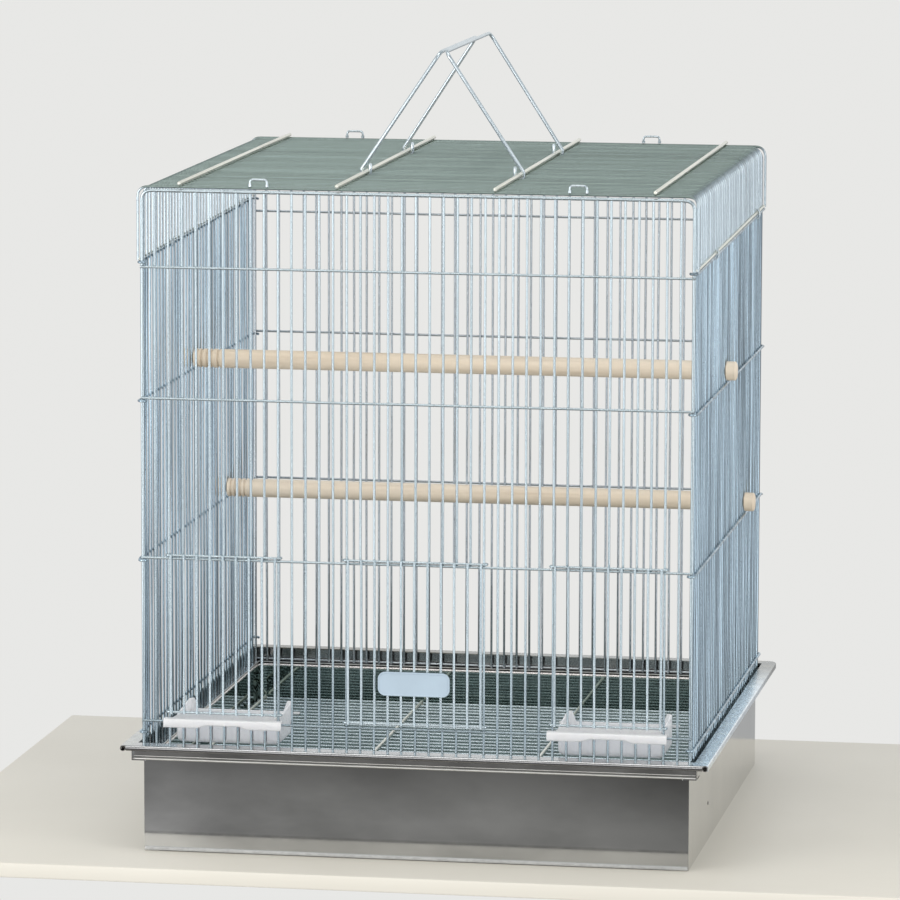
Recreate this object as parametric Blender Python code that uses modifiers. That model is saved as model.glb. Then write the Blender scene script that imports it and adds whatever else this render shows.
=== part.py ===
"""A square wire bird cage standing on a sheet metal base with a pull-out tray.

Metres, +Z up, front towards -Y. The origin is the centre of the underside.
Every size that can be set by itself is a named value below; the rest follows.
"""
import math

import bmesh
import bpy
from mathutils import Matrix, Vector

# Clearances
GAP = 0.0003            # air between two pieces that touch
WELD_BITE = 0.0001      # depth by which two welded wires sink into each other
INSET = 0.0002          # step between the faces of two shapes that are moulded in one

# Wire body
BODY_WIDTH = 0.435      # between the two side panels' wires
BODY_DEPTH = 0.435      # between the front and back panels' wires
GAPS_X = 40             # wire gaps across the front and the back
GAPS_Y = 40             # wire gaps across each side and the roof
WIRE = 0.0020           # diameter of the upright and cross wires
FRAME_WIRE = 0.0028     # diameter of the panels' edge wires
FRAME_TOP = 0.523       # height of the edge wire's top run
FRAME_CORNER = 0.008    # its corner radius
ROOF_HEIGHT = 0.526     # height of the roof wires
ROOF_CORNER = 0.008     # radius where a roof wire turns down
CROSS_HEIGHTS = (0.4633, 0.3603, 0.2342)    # cross wires of front and back, top down
FRONT_LOW_CROSS = 0.1044                    # cross wire under the doors
BACK_LOW_CROSS = 0.0790
SIDE_CROSS_HEIGHTS = (0.3580, 0.2330, 0.0950)
SKIRT_FRONT = 0.4695    # height of the roof skirt's edge wire at the front
SKIRT_BACK = 0.4765     # and at the back
SKIRT_STEP = 0.0026     # drop from it to the side panel's top wire

# Roof bars, staples and handles
BAR = 0.0032
BAR_INNER_X = 0.062
BAR_OUTER_INSET = 0.0310        # from the side wires in to the outer bars
BAR_OVERHANG = 0.0030
STAPLE_WIRE = 0.0018
STAPLE_WIDTH = 0.0135
STAPLE_HEIGHT = 0.0065
STAPLES_FRONT_X = (-0.1240, 0.1266)
STAPLES_BACK_X = (-0.1298, 0.1236)
HANDLE_WIRE = 0.0030
HANDLE_TAIL = 0.0070
HANDLE_CORNER = 0.008
HANDLE_LEFT = {"foot": 0.0950, "half_top": 0.0860, "top_x": 0.0040, "top_z": 0.6240}
HANDLE_RIGHT = {"foot": 0.1008, "half_top": 0.1060, "top_x": 0.0040, "top_z": 0.6260}

# Tie rings of the roof skirt
TIE_WIRE = 0.0016
TIE_GAPS = (10, 35)     # wire gaps, counted from the front, that hold a tie ring

# Doors: the numbers of the upright wires that each door runs on
DOOR_CENTRE_WIRES = (15, 25)
DOOR_LEFT_WIRES = (2, 10)
DOOR_RIGHT_WIRES = (30, 38)
DOOR_CENTRE_BOTTOM = 0.1083
DOOR_CUP_BOTTOM = 0.1120
DOOR_INSET = 0.0019     # from the guiding wire to the door's own edge wire

# Badge plate
BADGE_WIDTH = 0.057
BADGE_HEIGHT = 0.019
BADGE_THICKNESS = 0.0012
BADGE_BOTTOM = 0.1314
BADGE_CORNER = 0.006

# Feeding cups
CUP_WALL = 0.0015
CUP_DEPTH = 0.050
CUP_BOTTOM = 0.0840
CUP_FRONT_SETBACK = 0.0160      # from the front wires back to the cup's front wall
CUP_LIP_WIDTH = 0.094
CUP_LIP_REACH = 0.0085          # from the front wires forward to the lip's face
CUP_LIP_DROP = 0.0065
CUP_LIP_STEP = 0.0025
CUP_LIP_STEP_WIDTH = 0.030
CUP_WING = 0.0035
CUP_BACK_DROP = 0.0060
CUP_TAB = 0.0060

# Perches
PERCH = 0.0153
PERCH_OVERHANG = 0.0100
PERCH_SLOT_WIDTH = 0.0030
PERCH_RING_DEPTH = 0.0008
PERCH_RING_PITCH = 0.0050
PERCH_CHAMFER = 0.0010
PERCH_UPPER_GAP = 17            # wire gap, counted from the front, that holds the perch
PERCH_UPPER_HEIGHT = 0.3680
PERCH_LOWER_GAP = 29
PERCH_LOWER_HEIGHT = 0.2425

# Base
SHEET = 0.0008          # sheet metal thickness
BASE_HEIGHT = 0.0742    # top edge of the base walls
WALL_SETBACK = 0.0012   # from the wire body's outline in to the base wall's face
FOOT_FLANGE = 0.0120
RIM_HEIGHT = 0.0863     # top of the rim's flange
RIM_SIDE_REACH = 0.0150         # from the wires out to the flange's edge
RIM_END_REACH = 0.0162          # the same at the front and the back
RIM_CORNER = 0.008
RIM_LIP = 0.0045
RIM_ROLL = 0.0050
RIM_SIDE_OPENING = 0.0035       # from the wires out to the flange's inner edge
RIM_FRONT_OPENING = 0.0015
RIM_STEP_REACH = 0.0062         # from the wires out to the rim's upright step
RIM_APRON_REACH = 0.0105
RIM_LEDGE_REACH = 0.0045        # from the wires in to the ledge's inner edge
HEM = 0.0020
RUNNER_TOP = 0.0389
RUNNER_WIDTH = 0.0110
RUNNER_DEPTH = 0.0090

# Drawer
DRAWER_FRONT_BOTTOM = 0.0005
DRAWER_SIDE_SETBACK = 0.0043    # from the wires in to the tray's side
DRAWER_BACK_SETBACK = 0.0072
TRAY_RIM = 0.0735
TRAY_CORNER = 0.008
GRILLE_WIRE = 0.0022
GRILLE_HEIGHT = 0.0450
GRILLE_PITCH = 0.0134
GRILLE_GAPS = 30
GRILLE_BARS = 4
GRILLE_BAR_INSET = 0.0045       # from the grille wires' ends in to the outer bars
GRILLE_SIDE_GAP = 0.0033        # from the grille wires' ends to the tray's wall
GRILLE_FOOT = 0.0065            # from the last grille wire out to the foot

HALF_W = BODY_WIDTH / 2
HALF_D = BODY_DEPTH / 2
PITCH_X = BODY_WIDTH / GAPS_X
PITCH_Y = BODY_DEPTH / GAPS_Y
WELD = WIRE - WELD_BITE         # between the centres of two welded wires
REST = WIRE + GAP               # between the centres of two wires that only touch
FRAME_X = HALF_W + WELD - (WIRE + FRAME_WIRE) / 2 - GAP
LEDGE_TOP = BASE_HEIGHT + GAP + SHEET
WIRE_FOOT = LEDGE_TOP + GAP
BAR_HEIGHT = ROOF_HEIGHT + (WIRE + BAR) / 2 + GAP
BAR_OUTER_X = HALF_W - BAR_OUTER_INSET
DOOR_BAR_Y = -HALF_D - WIRE - GAP
DOOR_WIRE_Y = -HALF_D - WELD - WIRE - GAP
DOOR_TOP = CROSS_HEIGHTS[-1] + WIRE + GAP
WALL_X = HALF_W - WALL_SETBACK
WALL_BACK = HALF_D - WALL_SETBACK
WALL_FRONT = -HALF_D - WIRE / 2
DRAWER_FACE_BACK = WALL_FRONT - GAP
TRAY_X = HALF_W - DRAWER_SIDE_SETBACK
TRAY_BACK = HALF_D - DRAWER_BACK_SETBACK
TRAY_BOTTOM = RUNNER_TOP + GAP
TRAY_FLOOR = TRAY_BOTTOM + SHEET
CUP_TOP = FRONT_LOW_CROSS + WIRE / 2 + 2 * GAP + CUP_WALL

MATERIALS = {
    "zinc_wire": ((0.52, 0.58, 0.62), 0.28, 1.0),
    "roof_wire": ((0.44, 0.50, 0.48), 0.32, 1.0),
    "handle_wire": ((0.60, 0.62, 0.60), 0.25, 1.0),
    "base_sheet": ((0.42, 0.41, 0.39), 0.35, 1.0),
    "drawer_sheet": ((0.24, 0.24, 0.24), 0.40, 1.0),
    "tray_sheet": ((0.20, 0.22, 0.20), 0.35, 1.0),
    "cup_plastic": ((0.85, 0.85, 0.90), 0.35, 0.0),
    "perch_wood": ((0.74, 0.58, 0.40), 0.60, 0.0),
    "badge_plastic": ((0.66, 0.74, 0.80), 0.35, 0.0),
}


def clear_scene():
    """Remove what a new file holds."""
    for item in list(bpy.data.objects):
        bpy.data.objects.remove(item)


def collection(name):
    """A new collection in the scene."""
    group = bpy.data.collections.new(name)
    bpy.context.scene.collection.children.link(group)
    return group


def material(name):
    """The named finish, as a Principled material."""
    made = bpy.data.materials.get(name)
    if made:
        return made
    colour, roughness, metallic = MATERIALS[name]
    made = bpy.data.materials.new(name)
    made.use_nodes = True
    shader = made.node_tree.nodes["Principled BSDF"]
    shader.inputs["Base Color"].default_value = (*colour, 1.0)
    shader.inputs["Roughness"].default_value = roughness
    shader.inputs["Metallic"].default_value = metallic
    made.diffuse_color = (*colour, 1.0)
    return made


def evaluated_mesh(item):
    """The item's mesh with its modifiers, in world space; the item is removed."""
    bpy.context.view_layer.update()
    graph = bpy.context.evaluated_depsgraph_get()
    mesh = bpy.data.meshes.new_from_object(item.evaluated_get(graph))
    mesh.transform(item.matrix_world)
    bpy.data.objects.remove(item)
    return mesh


def work_object(name, data):
    """A passing object that carries data through a modelling step."""
    item = bpy.data.objects.new(name, data)
    WORK.objects.link(item)
    return item


def joined_to_mesh(shape):
    """The bmesh as a mesh."""
    mesh = bpy.data.meshes.new("shape")
    shape.to_mesh(mesh)
    shape.free()
    return mesh


def closed_up(mesh):
    """The mesh with the points that lie on each other made one."""
    shape = bmesh.new()
    shape.from_mesh(mesh)
    bmesh.ops.remove_doubles(shape, verts=shape.verts, dist=0.000001)
    return joined_to_mesh(shape)


def slab(outline, thickness, placing):
    """A flat outline made solid; placing puts its plane into the cage's frame."""
    curve = bpy.data.curves.new("slab", "CURVE")
    curve.dimensions = "2D"
    curve.fill_mode = "BOTH"
    curve.extrude = thickness / 2
    spline = curve.splines.new("POLY")
    spline.points.add(len(outline) - 1)
    for point, place in zip(spline.points, outline):
        point.co = (*place, 0.0, 1.0)
    spline.use_cyclic_u = True
    item = work_object("slab", curve)
    item.matrix_world = placing
    return closed_up(evaluated_mesh(item))


def along_x(x):
    """Puts an outline drawn in Y and Z across the X axis at x."""
    return Matrix(((0, 0, 1, x), (1, 0, 0, 0), (0, 1, 0, 0), (0, 0, 0, 1)))


def along_y(y):
    """Puts an outline drawn in X and Z across the Y axis at y."""
    return Matrix(((1, 0, 0, 0), (0, 0, -1, y), (0, 1, 0, 0), (0, 0, 0, 1)))


def box(x_range, y_range, z_range):
    """A box between the given limits."""
    shape = bmesh.new()
    bmesh.ops.create_cube(shape, size=1.0)
    low, high = (Vector(corner) for corner in zip(x_range, y_range, z_range))
    bmesh.ops.scale(shape, vec=high - low, verts=shape.verts)
    bmesh.ops.translate(shape, vec=(low + high) / 2, verts=shape.verts)
    return joined_to_mesh(shape)


def round_box(x_range, y_range, z_range, radius, corner=None, axis=2):
    """A box whose edges along one axis are rounded; corner picks which of them."""
    shape = bmesh.new()
    shape.from_mesh(box(x_range, y_range, z_range))
    edges = []
    for edge in shape.edges:
        run = edge.verts[1].co - edge.verts[0].co
        middle = (edge.verts[1].co + edge.verts[0].co) / 2
        if abs(run[axis]) > 0.99 * run.length and (corner is None or corner(middle)):
            edges.append(edge)
    bmesh.ops.bevel(shape, geom=edges, offset=radius, segments=4, profile=0.5, affect="EDGES")
    return joined_to_mesh(shape)


def wires(paths, diameter, sides=4, closed=False):
    """Round wires along the given paths of points, as one mesh."""
    curve = bpy.data.curves.new("wire", "CURVE")
    curve.dimensions = "3D"
    curve.bevel_depth = diameter / 2
    curve.bevel_resolution = (sides - 4) // 2
    curve.use_fill_caps = True
    for path in paths:
        spline = curve.splines.new("POLY")
        spline.points.add(len(path) - 1)
        spline.use_cyclic_u = closed
        for point, place in zip(spline.points, path):
            point.co = (*place, 1.0)
    return closed_up(evaluated_mesh(work_object("wire", curve)))


def combined(operation, base, *others):
    """The base mesh joined with, or cut by, each of the others in turn."""
    for other in others:
        item = work_object("base", base)
        tool = work_object("tool", other)
        step = item.modifiers.new("step", "BOOLEAN")
        step.operation = operation
        step.solver = "EXACT"
        step.object = tool
        base = evaluated_mesh(item)
        bpy.data.objects.remove(tool)
    return closed_up(base)


def welded(base, *others):
    return combined("UNION", base, *others)


def cut(base, *others):
    return combined("DIFFERENCE", base, *others)


def add_node(name, mesh, finish, pivot=(0.0, 0.0, 0.0), smooth=True):
    """One sub-part: its mesh is given in the cage's frame, its origin goes to the pivot."""
    item = bpy.data.objects.new(name, mesh)
    PARTS.objects.link(item)
    mesh.transform(Matrix.Translation(-Vector(pivot)))
    item.location = pivot
    mesh.name = name
    mesh.materials.clear()
    mesh.materials.append(material(finish))
    if smooth:
        mesh.shade_smooth()
        mesh.set_sharp_from_angle(angle=math.radians(60))
    return item


def arc(centre, radius, start, end, steps):
    """Points on an arc in a plane, angles in degrees, as pairs."""
    points = []
    for step in range(steps + 1):
        angle = math.radians(start + (end - start) * step / steps)
        points.append((centre[0] + radius * math.cos(angle), centre[1] + radius * math.sin(angle)))
    return points


def arch(half_width, foot, top, radius, steps=2):
    """The pairs of an upright arch with round shoulders, from foot to foot."""
    left = arc((-half_width + radius, top - radius), radius, 180, 90, steps)
    right = arc((half_width - radius, top - radius), radius, 90, 0, steps)
    return [(-half_width, foot), *left, *right, (half_width, foot)]


def upright_x(number):
    """Where an upright wire of the front stands, counted from the left."""
    return -HALF_W + number * PITCH_X


def upright_y(number):
    """Where a wire of the side or roof lies, counted from the front."""
    return -HALF_D + number * PITCH_Y


def gap_y(number):
    """The middle of a wire gap of the side, counted from the front."""
    return (upright_y(number) + upright_y(number + 1)) / 2


def skirt_height(y):
    """The roof skirt's edge wire climbs evenly from front to back."""
    share = (y + HALF_D) / BODY_DEPTH
    return SKIRT_FRONT + (SKIRT_BACK - SKIRT_FRONT) * share


def upright_panel(side, low_cross, doors):
    """The front or back: edge wire, uprights and cross wires; side is -1 in front.

    The uprights are welded to the edge wire, the low cross wire and the one above the
    doors. The other cross wires are welded to the edge wire and rest against the uprights.
    """
    face = side * HALF_D
    openings = [(FRONT_LOW_CROSS, CROSS_HEIGHTS[-1], first, last) for first, last in doors]
    uprights = []
    for number in range(1, GAPS_X):
        x = upright_x(number)
        runs = [(WIRE_FOOT, FRAME_TOP)]
        for low, high, first, last in openings:
            if first < number < last:
                runs = [(WIRE_FOOT, low + WIRE / 2), (high - WIRE / 2, FRAME_TOP)]
        for low, high in runs:
            uprights.append([(x, face, low), (x, face, high)])
    crosses = []
    reach = FRAME_X + FRAME_WIRE / 3
    for height in (*CROSS_HEIGHTS, low_cross):
        fixed = height == low_cross or (doors and height == CROSS_HEIGHTS[-1])
        outer = side * (HALF_D + (WELD if fixed else REST))
        crosses.append([(-reach, outer, height), (reach, outer, height)])
    edge = [(x, face, z) for x, z in arch(FRAME_X, WIRE_FOOT, FRAME_TOP, FRAME_CORNER, 3)]
    return welded(wires(uprights, WIRE), wires([edge], FRAME_WIRE), wires(crosses, WIRE))


def hook(side, end, offset, height, neighbour_heights):
    """The end of a side cross wire, bent round the edge wire of the front or back."""
    reach = (WIRE + FRAME_WIRE) / 2 + GAP
    for neighbour in neighbour_heights:
        room = WIRE + GAP + WELD_BITE
        if abs(height - neighbour) < room:
            height = neighbour + math.copysign(room, height - neighbour)
    bends = [(HALF_W + offset - FRAME_X, -0.25 * reach), (0.4 * reach, -1.05 * reach),
             (-0.5 * reach, -1.05 * reach), (-1.05 * reach, -0.4 * reach),
             (-1.05 * reach, 0.3 * reach)]
    return [(side * (FRAME_X + x), end * (HALF_D - y), height) for x, y in bends]


def side_cross(side, offset, front_height, back_height):
    """A cross wire of a side panel, with a hook at either end."""
    outer = side * (HALF_W + offset)
    straight_end = HALF_D - 2 * WIRE
    front = hook(side, -1, offset, front_height, (*CROSS_HEIGHTS, FRONT_LOW_CROSS))
    back = hook(side, 1, offset, back_height, (*CROSS_HEIGHTS, BACK_LOW_CROSS))
    middle = [(outer, -straight_end, front_height), (outer, straight_end, back_height)]
    return [*reversed(front), *middle, *back]


def side_panel(side):
    """A side of the cage, from the rim up to the roof's skirt.

    The uprights are welded to the top and bottom cross wires. The two between are welded
    to the thick first and last uprights and rest against the others.
    """
    uprights = []
    for number in range(1, GAPS_Y):
        y = upright_y(number)
        top = skirt_height(y) - SKIRT_STEP + WIRE / 2 + WELD_BITE
        uprights.append([(side * HALF_W, y, WIRE_FOOT), (side * HALF_W, y, top)])
    edges = [uprights.pop(0), uprights.pop()]
    crosses = [side_cross(side, WELD, SKIRT_FRONT - SKIRT_STEP, SKIRT_BACK - SKIRT_STEP)]
    for height in SIDE_CROSS_HEIGHTS:
        offset = WELD if height == SIDE_CROSS_HEIGHTS[-1] else REST
        crosses.append(side_cross(side, offset, height, height))
    return welded(wires(uprights, WIRE), wires(crosses, WIRE), wires(edges, FRAME_WIRE))


def roof_panel():
    """The roof wires, each bent down at both ends, and the two skirt wires."""
    end_x = HALF_W + WELD + WIRE / 4
    bows = []
    for number in range(GAPS_Y + 1):
        y = upright_y(number)
        half = end_x if number in (0, GAPS_Y) else HALF_W
        foot = skirt_height(y) - WIRE / 2 - WELD_BITE
        bows.append([(x, y, z) for x, z in arch(half, foot, ROOF_HEIGHT, ROOF_CORNER, 1)])
    skirts = []
    for side in (-1, 1):
        outer = side * (HALF_W + WELD)
        end = HALF_D + WIRE / 3
        skirts.append([(outer, -end, skirt_height(-end)), (outer, end, skirt_height(end))])
    return welded(wires(bows, WIRE), wires(skirts, WIRE))


def roof_bar(x):
    """A bar that lies on the roof wires from front to back."""
    end = HALF_D + BAR_OVERHANG
    return wires([[(x, -end, BAR_HEIGHT), (x, end, BAR_HEIGHT)]], BAR, sides=8)


def staple(x, y):
    """A small eye that stands on the roof's edge."""
    half = STAPLE_WIDTH / 2
    foot = ROOF_HEIGHT + WIRE / 2 + GAP
    path = arch(half, foot, foot + STAPLE_HEIGHT - STAPLE_WIRE / 2, STAPLE_WIRE)
    return wires([[(x + across, y, z) for across, z in path]], STAPLE_WIRE, sides=6)


def handle(side, sizes):
    """A carrying bail: two legs hooked under a roof bar, and a grip between them."""
    seat = (BAR + HANDLE_WIRE) / 2 + GAP
    pivot = Vector((side * BAR_INNER_X, 0.0, BAR_HEIGHT))
    foot, half_top = sizes["foot"], sizes["half_top"]
    grip = Vector((side * sizes["top_x"], 0.0, sizes["top_z"]))
    under = arc((pivot.x, pivot.z), seat, 180, 360, 4)
    if side < 0:
        under = arc((pivot.x, pivot.z), seat, 0, -180, 4)
    start = Vector((pivot.x + side * 1.06 * seat, 0.0, pivot.z + 0.6 * seat))
    run = grip - start
    leg = [(under[0][0], pivot.z + HANDLE_TAIL), *under, (start.x, start.z)]
    shoulder_start = grip - run.normalized() * HANDLE_CORNER
    half = [(x, -foot, z) for x, z in leg]
    share = (shoulder_start - start).length / run.length
    half.append((shoulder_start.x, -(foot + (half_top - foot) * share), shoulder_start.z))
    bend = grip - run.normalized() * HANDLE_CORNER * 0.3
    half.append((bend.x, -(half_top - HANDLE_CORNER * 0.3), bend.z))
    half.append((grip.x, -(half_top - HANDLE_CORNER), grip.z))
    other = [(x, -y, z) for x, y, z in reversed(half)]
    return wires([[*half, *other]], HANDLE_WIRE, sides=6), pivot


def tie_ring(side, number):
    """A ring that ties the roof skirt's edge wire to the side panel's top wire."""
    y = gap_y(number)
    room = (WIRE + TIE_WIRE) / 2 + GAP
    middle = skirt_height(y) - SKIRT_STEP / 2
    path = []
    for step in range(10):
        angle = math.radians(36 * step)
        path.append((side * (HALF_W + WELD) + 1.12 * room * math.cos(angle), y,
                     middle + (room + 0.75 * SKIRT_STEP) * math.sin(angle)))
    return wires([path], TIE_WIRE, closed=True)


def door(first, last, bottom):
    """A lift-up door; its cross wires end in hooks round the guiding uprights."""
    left, right = upright_x(first), upright_x(last)
    reach = WIRE + GAP
    bars = []
    for height in (bottom, DOOR_TOP):
        bends = [(0.4 * reach, -reach), (reach, -0.4 * reach), (reach, 0.4 * reach),
                 (0.4 * reach, reach), (-0.5 * reach, reach)]
        near = [(right + x, -HALF_D + y, height) for x, y in bends]
        far = [(left - x, -HALF_D + y, height) for x, y in reversed(bends)]
        bars.append([*far, *near])
    width = right - left - 2 * DOOR_INSET
    count = last - first
    uprights = []
    for number in range(count + 1):
        x = left + DOOR_INSET + width * number / count
        low = bottom - WIRE / 2 - WELD_BITE
        high = DOOR_TOP + WIRE / 2 + WELD_BITE
        uprights.append([(x, DOOR_WIRE_Y, low), (x, DOOR_WIRE_Y, high)])
    return welded(wires(uprights, WIRE), wires(bars, WIRE))


def badge_plate():
    """A plain plate with round ends on the middle door."""
    back = DOOR_WIRE_Y - WIRE / 2 - GAP
    return round_box((-BADGE_WIDTH / 2, BADGE_WIDTH / 2), (back - BADGE_THICKNESS, back),
                     (BADGE_BOTTOM, BADGE_BOTTOM + BADGE_HEIGHT), BADGE_CORNER, axis=1)


def narrowed(limits, amount):
    """The limits, drawn in by the amount at either end."""
    return limits[0] + amount, limits[1] - amount


def cup(first, last):
    """A feeding cup behind the front wires, whose lip hooks over the low cross wire."""
    left, right = upright_x(first), upright_x(last)
    middle = (left + right) / 2
    half = (right - left) / 2 - WIRE / 2 - 2 * GAP
    front = -HALF_D + CUP_FRONT_SETBACK
    back = front + CUP_DEPTH
    lip_face = -HALF_D - CUP_LIP_REACH
    lip_back = -HALF_D - WIRE / 2 - GAP
    half_lip = CUP_LIP_WIDTH / 2
    wide = (middle - half, middle + half)
    body = box(wide, (front, back), (CUP_BOTTOM, CUP_TOP))
    neck = box(narrowed(wide, INSET), (lip_back - CUP_WALL, front + CUP_WALL / 2),
               (CUP_TOP - CUP_WALL - INSET, CUP_TOP - INSET))
    lip = (middle - half_lip, middle + half_lip)
    shelf = box(lip, (lip_face, lip_back), (CUP_TOP - CUP_WALL, CUP_TOP))
    skirt = box(narrowed(lip, INSET), (lip_face + INSET, lip_face + CUP_WALL),
                (CUP_TOP - CUP_LIP_DROP, CUP_TOP - CUP_WALL / 2))
    step = box((middle - CUP_LIP_STEP_WIDTH / 2, middle + CUP_LIP_STEP_WIDTH / 2),
               (lip_face - CUP_WALL, lip_face + 2 * CUP_WALL),
               (CUP_TOP - 2 * CUP_LIP_DROP, CUP_TOP - CUP_LIP_DROP + CUP_LIP_STEP))
    back_top = CUP_TOP - CUP_BACK_DROP
    tabs = box(narrowed(wide, -CUP_TAB), (back - 3 * CUP_WALL, back - INSET),
               (back_top - CUP_WALL, back_top - INSET))
    inside = narrowed(wide, CUP_WALL)
    hollow = box(inside, (front + CUP_WALL, back - CUP_WALL), (CUP_BOTTOM + CUP_WALL, 2 * CUP_TOP))
    low_back = box(narrowed(inside, -INSET), (back - 2 * CUP_WALL, back + CUP_WALL),
                   (back_top, 2 * CUP_TOP))
    walls = (wide[0] + CUP_WALL / 2, wide[1] - CUP_WALL / 2)
    wings = [cup_wing(x, front, back - INSET) for x in walls]
    return cut(welded(body, neck, shelf, skirt, tabs, *wings), step, hollow, low_back)


def cup_wing(x, front, back):
    """The sloping top of a cup's side wall, highest at the back."""
    low = CUP_TOP - CUP_WALL / 2
    outline = [(front + 2 * CUP_WALL, low), (back, low), (back, CUP_TOP + CUP_WING)]
    return slab(outline, CUP_WALL - 2 * INSET, along_x(x))


def perch():
    """A turned wooden rod along X; each end has a slot that two side wires sit in."""
    end = HALF_W + PERCH_OVERHANG
    radius = PERCH / 2
    core = PITCH_Y / 2 - WIRE / 2 - GAP
    profile = [(0.0, end), (radius - PERCH_CHAMFER, end), (radius, end - PERCH_CHAMFER)]
    slot = (HALF_W + PERCH_SLOT_WIDTH / 2, HALF_W - PERCH_SLOT_WIDTH / 2)
    profile += [(radius, slot[0]), (core, slot[0]), (core, slot[1]), (radius, slot[1])]
    for ring in (1, 2):
        place = slot[1] - ring * PERCH_RING_PITCH
        half = PERCH_RING_DEPTH
        profile += [(radius, place + half), (radius - half, place), (radius, place - half)]
    profile += [(across, -along) for across, along in reversed(profile)]
    outline = bmesh.new()
    points = [outline.verts.new((across, 0.0, along)) for across, along in profile]
    for first, second in zip(points, points[1:]):
        outline.edges.new((first, second))
    item = work_object("perch", joined_to_mesh(outline))
    turn = item.modifiers.new("turn", "SCREW")
    turn.steps = 12
    turn.render_steps = 12
    turn.use_merge_vertices = True
    turn.merge_threshold = 0.00001
    item.rotation_euler = (0.0, math.radians(90), 0.0)
    return evaluated_mesh(item)


def angle_section(corner, inward, width, foot_height, wall_end):
    """The outline of a sheet angle: a foot that runs inward, and a wall up or down from it."""
    shelf = foot_height + math.copysign(SHEET, wall_end - foot_height)
    tip, wall_face = corner + inward * width, corner + inward * SHEET
    return [(corner, foot_height), (tip, foot_height), (tip, shelf),
            (wall_face, shelf), (wall_face, wall_end), (corner, wall_end)]


def base_wall(side):
    """A side wall of the base with its foot turned in."""
    section = angle_section(side * WALL_X, -side, FOOT_FLANGE, 0.0, BASE_HEIGHT)
    wall = slab(section, WALL_BACK - WALL_FRONT, along_y((WALL_BACK + WALL_FRONT) / 2))
    corner = box(sorted((side * (WALL_X - SHEET), side * (WALL_X - 2 * FOOT_FLANGE))),
                 (WALL_BACK - FOOT_FLANGE - GAP, 2 * WALL_BACK), (-SHEET, 2 * SHEET))
    return cut(wall, corner)


def base_wall_back():
    """The back wall of the base, between the side walls, with its foot turned in."""
    section = angle_section(WALL_BACK, -1, FOOT_FLANGE, 0.0, BASE_HEIGHT)
    return slab(section, 2 * (WALL_X - SHEET - GAP), along_x(0.0))


def runner(side):
    """The angle on a side wall that the tray slides on."""
    outer = side * (WALL_X - SHEET - GAP)
    section = angle_section(outer, -side, RUNNER_WIDTH, RUNNER_TOP, RUNNER_TOP - RUNNER_DEPTH)
    back = WALL_BACK - SHEET - GAP
    return slab(section, back - WALL_FRONT, along_y((back + WALL_FRONT) / 2))


def rim_frame():
    """The folded frame on the base: flange, rolled lip, upright step and wire ledge."""
    def outline(side_reach, front_reach, back_reach):
        """Limits across and along, measured from the wires."""
        return (-HALF_W - side_reach, HALF_W + side_reach), (-HALF_D - front_reach, HALF_D + back_reach)

    def rounded(limits, z_range, radius):
        return round_box(*limits, z_range, radius, corner=lambda middle: middle.y > 0)

    outer = outline(RIM_SIDE_REACH, RIM_END_REACH, RIM_END_REACH)
    lip_end = RIM_END_REACH - SHEET
    lip = outline(RIM_SIDE_REACH - SHEET, lip_end, lip_end)
    opening = outline(RIM_SIDE_OPENING, RIM_FRONT_OPENING, RIM_SIDE_OPENING)
    step = outline(RIM_STEP_REACH, RIM_APRON_REACH, RIM_STEP_REACH)
    step_inside = outline(RIM_STEP_REACH - SHEET, RIM_APRON_REACH - SHEET, RIM_STEP_REACH - SHEET)
    ledge = outline(-RIM_LEDGE_REACH, -RIM_LEDGE_REACH, -RIM_LEDGE_REACH)
    bottom = BASE_HEIGHT + GAP
    block = rounded(outer, (RIM_HEIGHT - RIM_LIP, RIM_HEIGHT), RIM_CORNER)
    under = rounded(lip, (RIM_HEIGHT - 2 * RIM_LIP, RIM_HEIGHT - SHEET), RIM_CORNER - SHEET)
    flange = cut(block, under, box(*opening, (bottom, 2 * RIM_HEIGHT)))
    tub = box(*step, (bottom, RIM_HEIGHT - SHEET / 2))
    tub = cut(tub, box(*step_inside, (LEDGE_TOP, 2 * RIM_HEIGHT)), box(*ledge, (0.0, 2 * RIM_HEIGHT)))
    front = outer[1][0]
    roll = box(narrowed(outer[0], SHEET / 2), (front + SHEET / 2, front + RIM_ROLL),
               (RIM_HEIGHT - RIM_LIP + INSET, RIM_HEIGHT - RIM_LIP + SHEET))
    apron = step[1][0]
    hem = box(narrowed(step[0], INSET), (apron - SHEET, apron + SHEET / 2),
              (bottom + INSET, bottom + HEM))
    return welded(flange, tub, roll, hem)


def drawer_front():
    """The drawer's face plate, as wide as the base."""
    return box((-WALL_X, WALL_X), (DRAWER_FACE_BACK - SHEET, DRAWER_FACE_BACK),
               (DRAWER_FRONT_BOTTOM, BASE_HEIGHT))


def drawer_tray():
    """The pull-out tray, a folded tub with round corners."""
    outer = round_box((-TRAY_X, TRAY_X), (WALL_FRONT, TRAY_BACK), (TRAY_BOTTOM, TRAY_RIM), TRAY_CORNER)
    inner = round_box((-TRAY_X + SHEET, TRAY_X - SHEET), (WALL_FRONT + SHEET, TRAY_BACK - SHEET),
                      (TRAY_FLOOR, 2 * TRAY_RIM), TRAY_CORNER - SHEET)
    return cut(outer, inner)


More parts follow.
